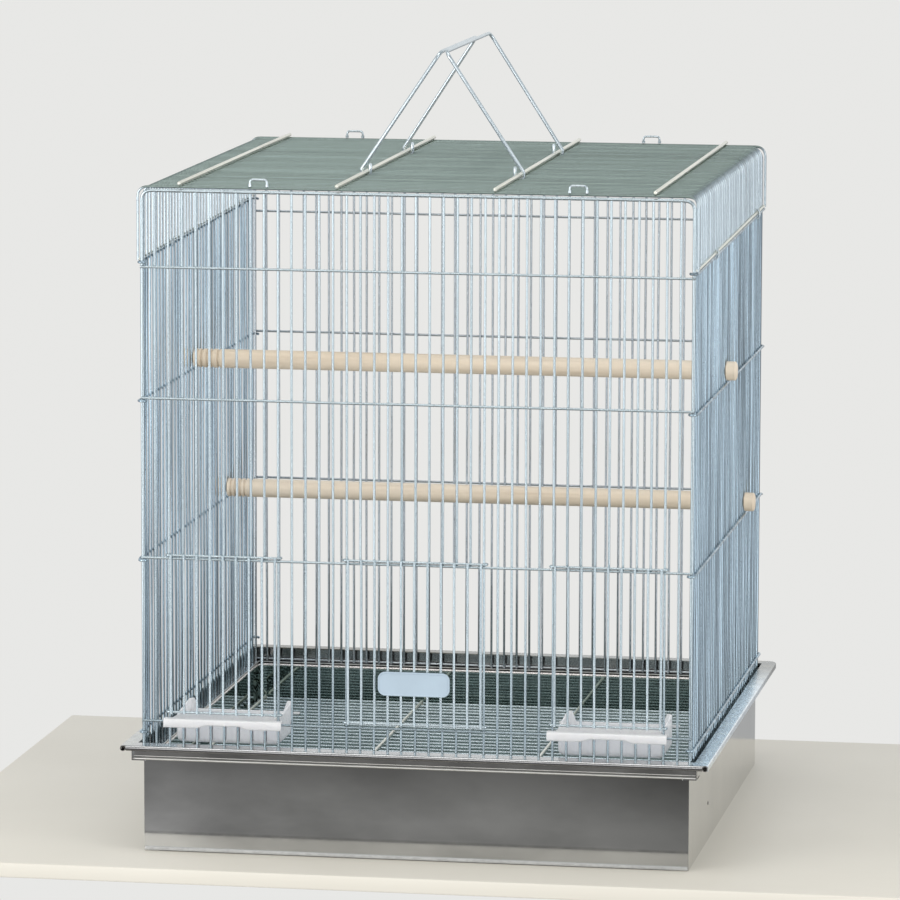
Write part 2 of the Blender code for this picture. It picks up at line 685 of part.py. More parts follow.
def floor_grille():
    """The grille in the tray: wires across it, under bars whose ends turn down as feet."""
    middle = (WALL_FRONT + TRAY_BACK) / 2
    half_length = TRAY_X - SHEET - GRILLE_SIDE_GAP
    half_depth = GRILLE_GAPS * GRILLE_PITCH / 2
    rows = []
    for number in range(GRILLE_GAPS + 1):
        y = middle - half_depth + number * GRILLE_PITCH
        rows.append([(-half_length, y, GRILLE_HEIGHT), (half_length, y, GRILLE_HEIGHT)])
    top = GRILLE_HEIGHT + GRILLE_WIRE - WELD_BITE
    reach = half_depth + GRILLE_FOOT
    outer_bar = half_length - GRILLE_BAR_INSET
    bars = []
    for number in range(GRILLE_BARS):
        x = -outer_bar + 2 * outer_bar * number / (GRILLE_BARS - 1)
        path = arch(reach, TRAY_FLOOR + GAP, top, GRILLE_WIRE)
        bars.append([(x, middle + along, z) for along, z in path])
    return welded(wires(rows, GRILLE_WIRE), wires(bars, GRILLE_WIRE))


def build_base():
    add_node("rim_frame", rim_frame(), "base_sheet", smooth=False)
    for name, side in (("left", -1), ("right", 1)):
        add_node("base_wall_" + name, base_wall(side), "base_sheet", smooth=False)
        add_node("runner_" + name, runner(side), "base_sheet", smooth=False)
    add_node("base_wall_back", base_wall_back(), "base_sheet", smooth=False)
    add_node("drawer_front", drawer_front(), "drawer_sheet", smooth=False)
    add_node("drawer_tray", drawer_tray(), "tray_sheet")
    add_node("floor_grille", floor_grille(), "zinc_wire")


def build_wire_body():
    doors = (DOOR_CENTRE_WIRES, DOOR_LEFT_WIRES, DOOR_RIGHT_WIRES)
    add_node("front_panel", upright_panel(-1, FRONT_LOW_CROSS, doors), "zinc_wire")
    add_node("back_panel", upright_panel(1, BACK_LOW_CROSS, ()), "zinc_wire")
    add_node("roof_panel", roof_panel(), "roof_wire")
    for name, side in (("left", -1), ("right", 1)):
        add_node("side_panel_" + name, side_panel(side), "zinc_wire")
        for place, number in zip(("front", "back"), TIE_GAPS):
            add_node(f"tie_ring_{name}_{place}", tie_ring(side, number), "zinc_wire")
    bars = (-BAR_OUTER_X, -BAR_INNER_X, BAR_INNER_X, BAR_OUTER_X)
    for number, x in enumerate(bars, start=1):
        add_node(f"roof_bar_{number}", roof_bar(x), "roof_wire")
    for place, y, row in (("front", -HALF_D, STAPLES_FRONT_X), ("back", HALF_D, STAPLES_BACK_X)):
        for name, x in zip(("left", "right"), row):
            add_node(f"staple_{place}_{name}", staple(x, y), "zinc_wire")


def build_moving_parts():
    for name, side, sizes in (("left", -1, HANDLE_LEFT), ("right", 1, HANDLE_RIGHT)):
        mesh, pivot = handle(side, sizes)
        add_node("handle_" + name, mesh, "handle_wire", pivot)
    doors = (("centre", DOOR_CENTRE_WIRES, DOOR_CENTRE_BOTTOM),
             ("left_cup", DOOR_LEFT_WIRES, DOOR_CUP_BOTTOM),
             ("right_cup", DOOR_RIGHT_WIRES, DOOR_CUP_BOTTOM))
    for name, guides, bottom in doors:
        add_node("door_" + name, door(*guides, bottom), "zinc_wire")
    add_node("badge_plate", badge_plate(), "badge_plastic")
    add_node("cup_left", cup(*DOOR_LEFT_WIRES), "cup_plastic")
    add_node("cup_right", cup(*DOOR_RIGHT_WIRES), "cup_plastic")
    perches = (("upper", PERCH_UPPER_GAP, PERCH_UPPER_HEIGHT),
               ("lower", PERCH_LOWER_GAP, PERCH_LOWER_HEIGHT))
    for name, number, height in perches:
        axis = (0.0, gap_y(number), height)
        mesh = perch()
        mesh.transform(Matrix.Translation(axis))
        add_node("perch_" + name, mesh, "perch_wood", axis)


clear_scene()
PARTS = collection("bird_cage")
WORK = collection("modelling_steps")
build_base()
build_wire_body()
build_moving_parts()
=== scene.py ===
"""The bird cage as it looks, on a table in soft studio light.

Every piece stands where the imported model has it. Metres, +Z up, front towards -Y.
"""
import math
import random

import bmesh
import bpy
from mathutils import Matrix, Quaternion, Vector


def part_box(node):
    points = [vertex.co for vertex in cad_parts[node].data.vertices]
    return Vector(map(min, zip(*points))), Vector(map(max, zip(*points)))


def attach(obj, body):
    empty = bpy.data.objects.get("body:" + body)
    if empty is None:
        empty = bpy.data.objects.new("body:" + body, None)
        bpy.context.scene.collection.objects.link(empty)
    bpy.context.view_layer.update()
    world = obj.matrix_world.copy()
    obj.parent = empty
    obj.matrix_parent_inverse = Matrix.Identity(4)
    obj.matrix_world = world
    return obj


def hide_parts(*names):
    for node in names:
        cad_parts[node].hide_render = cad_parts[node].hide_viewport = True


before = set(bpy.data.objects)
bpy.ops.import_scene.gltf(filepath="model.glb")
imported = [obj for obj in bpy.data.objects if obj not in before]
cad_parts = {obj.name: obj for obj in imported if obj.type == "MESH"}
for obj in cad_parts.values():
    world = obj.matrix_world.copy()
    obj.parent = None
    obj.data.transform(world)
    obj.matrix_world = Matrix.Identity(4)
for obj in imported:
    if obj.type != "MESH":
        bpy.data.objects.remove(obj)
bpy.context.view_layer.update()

# Wire body
HALF = 0.2175           # from the middle to the wires of each panel
GAPS = 40
PITCH = 2 * HALF / GAPS
WIRE = 0.0020
FRAME_WIRE = 0.0028
WELD = 0.0019           # between the centres of two welded wires
REST = 0.0023           # between the centres of two wires that only touch
CLEAR = 0.0003          # left free between two surfaces
FRAME_X = 0.2167
WIRE_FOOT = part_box("front_panel")[0].z
FRAME_TOP = 0.523
CROSS_HEIGHTS = (0.4633, 0.3603, 0.2342)
FRONT_LOW_CROSS = 0.1044
BACK_LOW_CROSS = 0.0766
SIDE_CROSS_HEIGHTS = (0.3580, 0.2330, 0.0950)
SKIRT_FRONT = 0.4695
SKIRT_BACK = 0.4765
SKIRT_STEP = 0.0026     # from the skirt wire down to the side panel's top wire
ROOF_HEIGHT = 0.526
BEND = 0.008            # reach of the larger bends
ROOF_BEND = 1.1 * BEND
SMALL_BEND = 0.003
STRAYING = 0.00015      # how far a wire strays from straight
LEANING = 0.0005        # how far a side wire's ends stray from an even pitch
BOWING = 0.0004         # how far a side wire bows between its welds

# How wires are drawn
BEND_SHARE = 0.49       # the most that a bend takes of the stretch beside it
STRAIGHT = math.radians(178)
SHARP = math.radians(40)    # the angle from which a mesh's edge stays sharp
WIRE_ROUNDNESS = 3      # the bevel's resolution
# A rounded end: how far along in diameters, and how wide in radii
DOME = ((0.0, 0.30), (0.06, 0.62), (0.18, 0.86), (0.34, 1.0))

# Hooks of the side cross wires, from the edge wire's centre, in reaches
HOOK_START = -0.25
HOOK_BENDS = ((0.4, -1.05), (-0.5, -1.05), (-1.05, -0.4), (-1.05, 0.3))
HOOK_ROOM = 0.0004      # between a hook and a cross wire of the front or back

# Small wire parts
TIE_WIRE = 0.0014
TIE_TURNS = 2.2
TIE_TURN_STEPS = 24
TIE_CLEAR = 0.0002
TIE_STRETCH = 0.6       # share of the skirt's step that a turn is longer than wide
TIE_GAPS = (10, 35)
STAPLE_WIRE = 0.0018
STAPLE_FOOT_RISE = 1.1 * STAPLE_WIRE
STAPLE_FOOT_WIDTH = 1.5 * STAPLE_WIRE

# Handles, by side
HANDLE_WIRE = 0.0030
HANDLE_BARS = {-1: "roof_bar_2", 1: "roof_bar_3"}
HANDLE_FEET = {-1: 0.0950, 1: 0.1008}
HANDLE_TOPS = {-1: 0.0860, 1: 0.1060}
HANDLE_GRIP = 0.0040    # from the middle to the grip
HANDLE_HOOK_RISE = 0.0070
HANDLE_LEG_START = (1.06, 0.6)     # beside and above the bar's centre, in seats
HANDLE_BEND = 0.9 * BEND

# Doors: the numbers of the wires that each runs on, and its hooks round them, in reaches
DOORS = {"centre": (15, 25), "left_cup": (2, 10), "right_cup": (30, 38)}
DOOR_INSET = 0.0019
DOOR_HOOK = ((0.4, -1.0), (1.0, -0.4), (1.0, 0.4), (0.4, 1.0), (-0.5, 1.0))

# Grille in the tray
GRILLE_WIRE = 0.0022
GRILLE_PITCH = 0.0134
GRILLE_BARS = 4
GRILLE_OVERHANG = 0.0045           # of the cross wires beyond the outer bars

# Feeding cups
CUP_FRONT = 0.0160                 # from the front wires to the front wall
CUP_WALL = 0.0015
CUP_CORNER = 0.0030
CUP_CLEAR = 0.0006
CUP_MESH = 0.0035                  # longest stretch between two points of the outline
CUP_BACK_DROP = 0.0050             # of the back wall below the lip
CUP_EDGE = 0.0004                  # roundness of the walls' top edge
CUP_LEVEL = 0.12                   # share of the depth over which the side walls are level
# The wall's outside going up and its inside going down: drawn in by, and height
CUP_OUTSIDE = ((0.0060, 0.0), (0.0026, 0.0005), (0.0008, 0.0022), (0.0, 0.0050))
CUP_INSIDE = ((CUP_WALL, 0.0060), (CUP_WALL + 0.0010, 0.0034), (0.0046, 0.0018))
CUP_LIP_WIDTH = 0.094
CUP_LIP_DROP = 0.0070
CUP_LIP_RISE = 0.0022
CUP_LIP_FLAT = 0.0135              # half the length of the raised stretch
CUP_LIP_SLOPE = 0.0065
CUP_LIP_STATIONS = 47
# The lip's section: behind its face, and above its top, its foot and its top again
CUP_LIP_TOP = ((0.0022, 0.0), (0.0006, -0.0004), (0.0, -0.0012))
CUP_LIP_FOOT = ((0.0, 0.0005), (0.0006, 0.0), (0.0014, 0.0005))
CUP_LIP_INSIDE = ((0.0015, -0.0026), (0.0026, -CUP_WALL))
CUP_LIP_JOINED = 0.001             # the lip reaches the front wall this far within the sides
CUP_RIBS = 8                       # one for each gap of the doorway
CUP_RIB_PLACE = 0.62               # of the first rib, in pitches
CUP_RIB_FOOT = 0.003               # above the cup's bottom
CUP_RIB_SECTION = ((-0.0009, 0.0002), (-0.0004, -0.0006), (0.0004, -0.0006), (0.0009, 0.0002))
CUP_TAB_INWARD = 0.001             # from the side wall
CUP_TAB_OUTWARD = 0.0060
CUP_TAB_DEPTH = 0.0045             # from the cup's back
CUP_TAB_SUNK = 0.0002              # below the back wall's top, and in front of its back
CUP_TAB_CORNER = 0.0012

# Perches
PERCH_SIDES = 40
PERCH_STATIONS = [part / 12 for part in range(9, 0, -1)]    # between the grooves, in half lengths
PERCH_TIP = 0.0002                 # radius of the innermost ring of an end face
# The round edge of an end: inward from the end, and below the surface
PERCH_EDGE = ((0.0, 0.0022), (0.0004, 0.0010), (0.0014, 0.0))
PERCH_SLOT = 0.0015                # half the width of the slot for the side wires
PERCH_SLOT_EDGE = 0.0003
PERCH_GROOVES = (0.0048, 0.0082, 0.0128, 0.0165, 0.0218)    # from the side wires inward
# A groove's section: along the rod, and below the surface
PERCH_GROOVE = ((0.0010, 0.0), (0.0004, 0.0011), (-0.0004, 0.0011), (-0.0010, 0.0))

# Badge
BADGE_ROUNDNESS = 0.62             # corner radius as a share of half the height
BADGE_BORDER = 0.0011
BADGE_RISE = 0.00035               # of the border above the field
BADGE_EDGE = 0.0003
BADGE_FIELD = 0.0030               # from the border to the field's middle part

# Sheet metal of the base, in reaches from the wires outward
SHEET = 0.0008
RIM_BOTTOM, RIM_TOP = (corner.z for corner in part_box("rim_frame"))
RIM_SIDE = 0.0150
RIM_FRONT = 0.0162
RIM_LIP = 0.0045
RIM_CORNER = 0.008
RIM_CORNER_STEPS = 6
RIM_EDGE = 0.0010                  # radius of the lip's fold
RIM_OPENING = 0.0035
RIM_FRONT_OPENING = 0.0015
RIM_STEP = 0.0062
RIM_APRON = 0.0105
RIM_LEDGE = -0.0045
BEAD = 0.0022                      # radius of the rolled bead in front
ROLL_DEPTH = 0.012                 # of the open ends of the side lips' rolls
HEM = 0.0009
HIGH_HEM = 0.5 * HEM
HIGH_HEM_RISE = 3.4 * HEM          # above the rim's foot
LEDGE_HEM = 0.75 * SHEET
# The face plate's hem: outward from the plate, and above its foot
PLATE_HEM = ((0.0, 0.0), (0.0004, 0.0002), (0.0004, 0.0024), (0.0, 0.0032))
PLATE_HEM_INSET = 0.0005
TRAY_BEAD = 0.0011
TRAY_CORNER = 0.008
RIVETS = {"front": (-0.0999, 0.0301), "back": (-0.0315, 0.0574)}
# A rivet's head: radius, and height above the wall
RIVET_HEAD = ((0.0016, -0.0002), (0.0015, 0.0002), (0.0010, 0.0004), (0.0003, 0.0005))

# Grain of the metals' and the plastics' surface
FINE_DEPTH = 0.0002

# Table
TABLE_FRONT = -0.285
TABLE_BACK = 0.328
TABLE_LEFT = -0.406
TABLE_RIGHT = 0.640
TABLE_THICKNESS = 0.012
TABLE_EDGE = 0.0015
TABLE_TONES = ((0.35, (0.650, 0.620, 0.545)), (0.65, (0.675, 0.645, 0.570)))

# What glossy surfaces see of the room, from left to right: in front, low and high
ROOM_FRONT_LOW = (
    (0.0, (0.48, 0.53, 0.58)), (0.27, (0.48, 0.53, 0.58)), (0.37, (0.31, 0.31, 0.31)),
    (0.46, (0.23, 0.23, 0.225)), (0.55, (0.72, 0.76, 0.79)), (0.72, (0.72, 0.76, 0.79)),
    (0.82, (0.42, 0.46, 0.51)))
ROOM_FRONT_HIGH = (
    (0.0, (0.66, 0.69, 0.71)), (0.36, (0.86, 0.86, 0.85)), (0.40, (0.80, 0.80, 0.79)),
    (0.45, (0.32, 0.32, 0.31)), (0.56, (0.66, 0.69, 0.71)))
# And from below to above: at the back, and overhead as a share
ROOM_REAR = ((0.0, (0.46, 0.47, 0.48)), (1.0, (0.90, 0.92, 0.93)))
ROOM_OVERHEAD = ((0.0, (1.0, 1.0, 1.0)), (1.0, (0.76, 0.79, 0.81)))
# Where the room goes from low to high, as the height that a direction points to
ROOM_FRONT_RISE = (0.0, 0.15)
ROOM_REAR_RISE = (-0.12, 0.02)
ROOM_OVERHEAD_RISE = (0.15, 0.75)
ROOM_TURN = (0.1, 0.6)             # and from the front to the back
# The light on matt surfaces, and the wall that the camera sees
ROOM_EVEN = (0.80, 0.80, 0.80)
ROOM_WALL = (0.805, 0.805, 0.790)

# Each lamp's place, aim, width, height and radiance
LAMPS = {
    "lamp_left": ((-1.9, -1.9, 0.5), (0.0, 0.0, 0.3), 0.9, 2.4, 3.0),
    "lamp_right": ((2.2, -1.3, 0.5), (0.0, 0.0, 0.3), 0.9, 2.4, 2.8),
    "lamp_front": ((-1.0, -3.4, 0.7), (0.0, 0.0, 0.2), 3.0, 1.2, 2.2),
    "lamp_top": ((0.0, -0.6, 2.3), (0.0, 0.0, 0.2), 1.6, 0.8, 2.6),
}

# Camera
TARGET = Vector((-0.01012, 0.0, 0.29393))
AZIMUTH, ELEVATION, TILT = 0.169687, 0.142296, 0.002868
DISTANCE = 4.7626
FOCAL_SHARE = 5856.55 / 900        # focal length as a share of the picture's width
SENSOR = 36.0

stray = random.Random(7)


# Objects

def new_object(name, data):
    item = bpy.data.objects.new(name, data)
    bpy.context.scene.collection.objects.link(item)
    return item


def mesh_object(name, shape):
    """The bmesh as a smooth object, with sharp edges kept sharp."""
    bmesh.ops.recalc_face_normals(shape, faces=shape.faces)
    mesh = bpy.data.meshes.new(name)
    shape.to_mesh(mesh)
    shape.free()
    mesh.shade_smooth()
    mesh.set_sharp_from_angle(angle=SHARP)
    return new_object(name, mesh)


def placed(piece, body, node, finish):
    """The piece takes the node's place on its body and finish."""
    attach(piece, body)
    if node:
        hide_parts(node)
    piece.data.materials.clear()
    piece.data.materials.append(finish)


# Wires: a run is a path of points and its diameter

def eased(points, radius=BEND, steps=5):
    """The path with each corner turned into a smooth bend."""
    points = [Vector(point) for point in points]
    path = [points[0]]
    for before, corner, after in zip(points, points[1:], points[2:]):
        back, ahead = before - corner, after - corner
        if back.angle(ahead) > STRAIGHT:
            path.append(corner)
            continue
        reach = min(radius, BEND_SHARE * back.length, BEND_SHARE * ahead.length)
        start = corner + back.normalized() * reach
        end = corner + ahead.normalized() * reach
        for step in range(steps + 1):
            share = step / steps
            path.append(start.lerp(corner, share).lerp(corner.lerp(end, share), share))
    path.append(points[-1])
    return path


def strayed(path):
    """The path with its inner points moved by a hair."""
    moved = [Vector(point) for point in path]
    for point in moved[1:-1]:
        point += Vector([stray.uniform(-STRAYING, STRAYING) for _ in range(3)])
    return moved


def evenly(reach, parts=8):
    """Even places from -reach to reach."""
    return [-reach + 2 * reach * part / parts for part in range(parts + 1)]


def domed(path, diameter):
    """The path with points added so that both its ends come out round, and its radii."""
    radius = diameter / 2

    def dome(tip, inner):
        length = (inner - tip).length
        return [(tip.lerp(inner, along * diameter / length), radius * wide) for along, wide in DOME]

    rows = [*dome(path[0], path[1]), *[(point, radius) for point in path[1:-1]],
            *reversed(dome(path[-1], path[-2]))]
    return [point for point, _ in rows], [wide for _, wide in rows]


def wire_object(name, runs, round_ends=False):
    """The runs as round wires in one object."""
    curve = bpy.data.curves.new(name, "CURVE")
    curve.dimensions = "3D"
    curve.bevel_depth = 1.0     # each point's radius says the rest
    curve.bevel_resolution = WIRE_ROUNDNESS
    curve.use_fill_caps = True
    for path, diameter in runs:
        path = [Vector(point) for point in path]
        radii = [diameter / 2] * len(path)
        if round_ends:
            path, radii = domed(path, diameter)
        spline = curve.splines.new("POLY")
        spline.points.add(len(path) - 1)
        for point, place, radius in zip(spline.points, path, radii):
            point.co = (*place, 1.0)
            point.radius = radius
        spline.use_smooth = True
    return new_object(name, curve)


def upright(number):
    """Where a wire stands or lies, counted from the left or from the front."""
    return -HALF + number * PITCH


def skirt_height(y):
    """The height of the roof's skirt wires, which climb to the back."""
    share = (y + HALF) / (2 * HALF)
    return SKIRT_FRONT + (SKIRT_BACK - SKIRT_FRONT) * share


def front_or_back(side, low_cross, doors):
    """Runs of the front or back panel: uprights, cross wires and edge wire."""
    face = side * HALF
    runs = []
    for number in range(1, GAPS):
        x = upright(number)
        stretches = [(WIRE_FOOT, FRAME_TOP)]
        if any(first < number < last for first, last in doors):
            stretches = [(WIRE_FOOT, FRONT_LOW_CROSS + WIRE / 2),
                         (CROSS_HEIGHTS[-1] - WIRE / 2, FRAME_TOP)]
        for low, high in stretches:
            crossed = [z for z in sorted((low_cross, *CROSS_HEIGHTS)) if low < z < high]
            runs.append((strayed([(x, face, z) for z in (low, *crossed, high)]), WIRE))
    for height in (*CROSS_HEIGHTS, low_cross):
        fixed = height == low_cross or (doors and height == CROSS_HEIGHTS[-1])
        outer = side * (HALF + (WELD if fixed else REST))
        places = evenly(FRAME_X + FRAME_WIRE / 3)
        runs.append((strayed([(x, outer, height) for x in places]), WIRE))
    corners = [(-FRAME_X, face, WIRE_FOOT), (-FRAME_X, face, FRAME_TOP),
               (FRAME_X, face, FRAME_TOP), (FRAME_X, face, WIRE_FOOT)]
    runs.append((eased(corners, BEND, 8), FRAME_WIRE))
    return runs


def hook(side, end, offset, height, neighbours):
    """The end of a side cross wire, bent round the edge wire of the front or back."""
    reach = (WIRE + FRAME_WIRE) / 2 + CLEAR
    room = WIRE + HOOK_ROOM
    for neighbour in neighbours:
        if abs(height - neighbour) < room:
            height = neighbour + math.copysign(room, height - neighbour)
    bends = [(HALF + offset - FRAME_X, HOOK_START * reach)]
    bends += [(x * reach, y * reach) for x, y in HOOK_BENDS]
    return [(side * (FRAME_X + x), end * (HALF - y), height) for x, y in bends]


def side_cross(side, offset, front_height, back_height):
    """A cross wire of a side panel, with a hook at either end."""
    outer = side * (HALF + offset)
    straight_end = HALF - 2 * WIRE
    front = hook(side, -1, offset, front_height, (*CROSS_HEIGHTS, FRONT_LOW_CROSS))
    back = hook(side, 1, offset, back_height, (*CROSS_HEIGHTS, BACK_LOW_CROSS))
    middle = [(outer, -straight_end, front_height), (outer, straight_end, back_height)]
    return eased([*reversed(front), *middle, *back], WIRE, 4), WIRE


def side_panel(side):
    """Runs of a side of the cage, from the rim up to the roof's skirt."""
    runs = []
    for number in range(1, GAPS):
        y = upright(number)
        top = skirt_height(y) - SKIRT_STEP + WIRE / 2
        diameter = FRAME_WIRE if number in (1, GAPS - 1) else WIRE
        foot, head = stray.uniform(-LEANING, LEANING), stray.uniform(-LEANING, LEANING)
        welds = [WIRE_FOOT, *sorted(SIDE_CROSS_HEIGHTS), top]
        path = []
        for low, high in zip(welds, welds[1:]):
            bow = stray.uniform(-BOWING, BOWING)
            for share in (0.0, 0.2, 0.4, 0.6, 0.8):
                z = low + (high - low) * share
                lean = foot + (head - foot) * (z - WIRE_FOOT) / (top - WIRE_FOOT)
                path.append((side * HALF + 4 * bow * share * (1 - share), y + lean, z))
        path.append((side * HALF, y + head, top))
        runs.append((path, diameter))
    runs.append(side_cross(side, WELD, SKIRT_FRONT - SKIRT_STEP, SKIRT_BACK - SKIRT_STEP))
    for height in SIDE_CROSS_HEIGHTS:
        offset = WELD if height == SIDE_CROSS_HEIGHTS[-1] else REST
        runs.append(side_cross(side, offset, height, height))
    return runs


def roof_panel():
    """Runs of the roof wires, which bend down at both ends, and of the two skirt wires."""
    roof, skirts = [], []
    for number in range(GAPS + 1):
        y = upright(number)
        half = HALF + WELD + WIRE / 4 if number in (0, GAPS) else HALF
        foot = skirt_height(y) - WIRE / 2
        corners = [(-half, y, foot), (-half, y, ROOF_HEIGHT),
                   (half, y, ROOF_HEIGHT), (half, y, foot)]
        roof.append((eased(corners, ROOF_BEND, 7), WIRE))
    for side in (-1, 1):
        outer = side * (HALF + WELD)
        places = evenly(HALF + WIRE / 3)
        skirts.append((strayed([(outer, y, skirt_height(y)) for y in places]), WIRE))
    return roof, skirts


def roof_bar(node):
    """A straight bar across the roof wires."""
    low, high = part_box(node)
    x, z = (low.x + high.x) / 2, (low.z + high.z) / 2
    return [([(x, low.y, z), (x, 0.0, z), (x, high.y, z)], high.z - low.z)]


def tie_ring(side, number):
    """A few turns of thin wire round the skirt wire and the side panel's top wire."""
    y = upright(number + 0.5)
    room = (WIRE + TIE_WIRE) / 2 + TIE_CLEAR
    middle = skirt_height(y) - SKIRT_STEP / 2
    path = []
    steps = int(TIE_TURN_STEPS * TIE_TURNS)
    for step in range(steps + 1):
        angle = math.tau * TIE_TURNS * step / steps
        path.append((side * (HALF + WELD) + room * math.cos(angle),
                     y + TIE_WIRE * (step / steps - 0.5) * TIE_TURNS,
                     middle + (room + TIE_STRETCH * SKIRT_STEP) * math.sin(angle)))
    return [(path, TIE_WIRE)]


def staple(node):
    """A small eye on the roof's edge, whose two feet are curled into beads."""
    low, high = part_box(node)
    y = (low.y + high.y) / 2
    left, right = low.x + STAPLE_WIRE / 2, high.x - STAPLE_WIRE / 2
    top = high.z - STAPLE_WIRE / 2
    corners = [(left, y, low.z), (left, y, top), (right, y, top), (right, y, low.z)]
    runs = [(eased(corners, SMALL_BEND), STAPLE_WIRE)]
    for x in (left, right):
        foot = [(x, y, low.z + share * STAPLE_FOOT_RISE) for share in (0.0, 0.5, 1.0)]
        runs.append((foot, STAPLE_FOOT_WIDTH))
    return runs


def handle(side, node):
    """A carrying bail: two legs hooked under a roof bar, and a grip between them."""
    bar_low, bar_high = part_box(HANDLE_BARS[side])
    bar_x, bar_z = (bar_low.x + bar_high.x) / 2, (bar_low.z + bar_high.z) / 2
    seat = (bar_high.z - bar_low.z + HANDLE_WIRE) / 2 + CLEAR
    start, end = (180, 360) if side > 0 else (0, -180)
    under = arc((bar_x, bar_z), seat, start, end, 6)
    beside, above = HANDLE_LEG_START
    leg = [(under[0][0], bar_z + HANDLE_HOOK_RISE), *under,
           (bar_x + side * beside * seat, bar_z + above * seat)]
    half = [(x, -HANDLE_FEET[side], z) for x, z in leg]
    grip_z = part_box(node)[1].z - HANDLE_WIRE / 2
    half.append((side * HANDLE_GRIP, -HANDLE_TOPS[side], grip_z))
    other = [(x, -y, z) for x, y, z in reversed(half)]
    return [(eased([*half, *other], HANDLE_BEND, 8), HANDLE_WIRE)]


def door(name):
    """A lift-up door; its cross wires end in hooks round the guiding uprights."""
    low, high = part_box("door_" + name)
    first, last = DOORS[name]
    left, right = upright(first), upright(last)
    reach = WIRE + CLEAR
    plane = low.y + WIRE / 2
    runs = []
    for height in (low.z + WIRE / 2, high.z - WIRE / 2):
        bends = [(x * reach, y * reach) for x, y in DOOR_HOOK]
        near = [(right + x, -HALF + y, height) for x, y in bends]
        far = [(left - x, -HALF + y, height) for x, y in reversed(bends)]
        runs.append((eased([*far, *near], WIRE, 4), WIRE))
    width = right - left - 2 * DOOR_INSET
    count = last - first
    for number in range(count + 1):
        x = left + DOOR_INSET + width * number / count
        heights = [low.z, (low.z + high.z) / 2, high.z]
        runs.append((strayed([(x, plane, z) for z in heights]), WIRE))
    return runs


def floor_grille():
    """Runs of the grille's wires across the tray, and of its bars with turned-down ends."""
    low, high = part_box("floor_grille")
    middle = (low.y + high.y) / 2
    bar_z, row_z = high.z - GRILLE_WIRE / 2, high.z - 1.5 * GRILLE_WIRE
    end = high.y - middle - GRILLE_WIRE / 2
    rows = int((high.y - low.y) / GRILLE_PITCH)
    cross_wires, bars = [], []
    for number in range(rows + 1):
        y = middle + (number - rows / 2) * GRILLE_PITCH
        path = [(x, y, row_z) for x in (low.x, 0.0, high.x)]
        cross_wires.append((strayed(path), GRILLE_WIRE))
    for x in evenly(high.x - GRILLE_OVERHANG, GRILLE_BARS - 1):
        corners = [(x, middle - end, low.z), (x, middle - end, bar_z),
                   (x, middle + end, bar_z), (x, middle + end, low.z)]
        bars.append((eased(corners, SMALL_BEND), GRILLE_WIRE))
    return cross_wires, bars


# Solid shapes: a section or outline is a list of pairs

def arc(centre, radius, start, end, steps):
    """Points on an arc, from one angle to another in degrees."""
    angles = [math.radians(start + (end - start) * step / steps) for step in range(steps + 1)]
    return [(centre[0] + radius * math.cos(angle), centre[1] + radius * math.sin(angle))
            for angle in angles]


def circle(centre, radius, count):
    """The given number of points round a circle."""
    return arc(centre, radius, 0, 360 - 360 / count, count - 1)


def rounded_ring(x_range, y_range, radius, steps=5):
    """A rectangle with round corners, counter-clockwise."""
    (x0, x1), (y0, y1) = x_range, y_range
    corners = ((x1 - radius, y0 + radius, -90), (x1 - radius, y1 - radius, 0),
               (x0 + radius, y1 - radius, 90), (x0 + radius, y0 + radius, 180))
    return [point for x, y, start in corners
            for point in arc((x, y), radius, start, start + 90, steps)]


def finer(ring, longest):
    """The closed ring with points added along its long straight runs."""
    points = []
    for here, after in zip(ring, ring[1:] + ring[:1]):
        count = max(1, math.ceil(math.dist(here, after) / longest))
        for step in range(count):
            share = step / count
            points.append(tuple(a + (b - a) * share for a, b in zip(here, after)))
    return points


def lofted(rings):
    """A closed skin through rings that all have the same number of points."""
    shape = bmesh.new()
    rows = [[shape.verts.new(point) for point in ring] for ring in rings]
    for row, following in zip(rows, rows[1:]):
        for index in range(len(row)):
            after = (index + 1) % len(row)
            shape.faces.new((row[index], row[after], following[after], following[index]))
    shape.faces.new(list(reversed(rows[0])))
    shape.faces.new(rows[-1])
    return shape


def raised(outline, low, high):
    """A flat outline drawn up from one height to another."""
    return lofted([[(x, y, z) for x, y in outline] for z in (low, high)])


def add(shape, other):
    """Puts the second bmesh's surface into the first one."""
    step = bpy.data.meshes.new("step")
    other.to_mesh(step)
    other.free()
    shape.from_mesh(step)
    bpy.data.meshes.remove(step)


def cup_lip(middle, half, front, face, top):
    """A lip from the front wall over the low cross wire and down in front of it."""
    rows = []
    for station in range(CUP_LIP_STATIONS + 1):
        across = (station / CUP_LIP_STATIONS - 0.5) * CUP_LIP_WIDTH
        rise = (CUP_LIP_FLAT + CUP_LIP_SLOPE - abs(across)) / CUP_LIP_SLOPE
        foot = top - CUP_LIP_DROP + CUP_LIP_RISE * min(1.0, max(0.0, rise))
        behind = -HALF - WIRE / 2 - CLEAR
        if abs(across) < half - CUP_LIP_JOINED:
            behind = front + CUP_WALL
        section = [(behind, top - CUP_WALL), (behind, top)]
        for height, corners in ((top, CUP_LIP_TOP), (foot, CUP_LIP_FOOT), (top, CUP_LIP_INSIDE)):
            section += [(face + y, height + z) for y, z in corners]
        rows.append([(middle + across, y, z) for y, z in section])
    return lofted(rows)


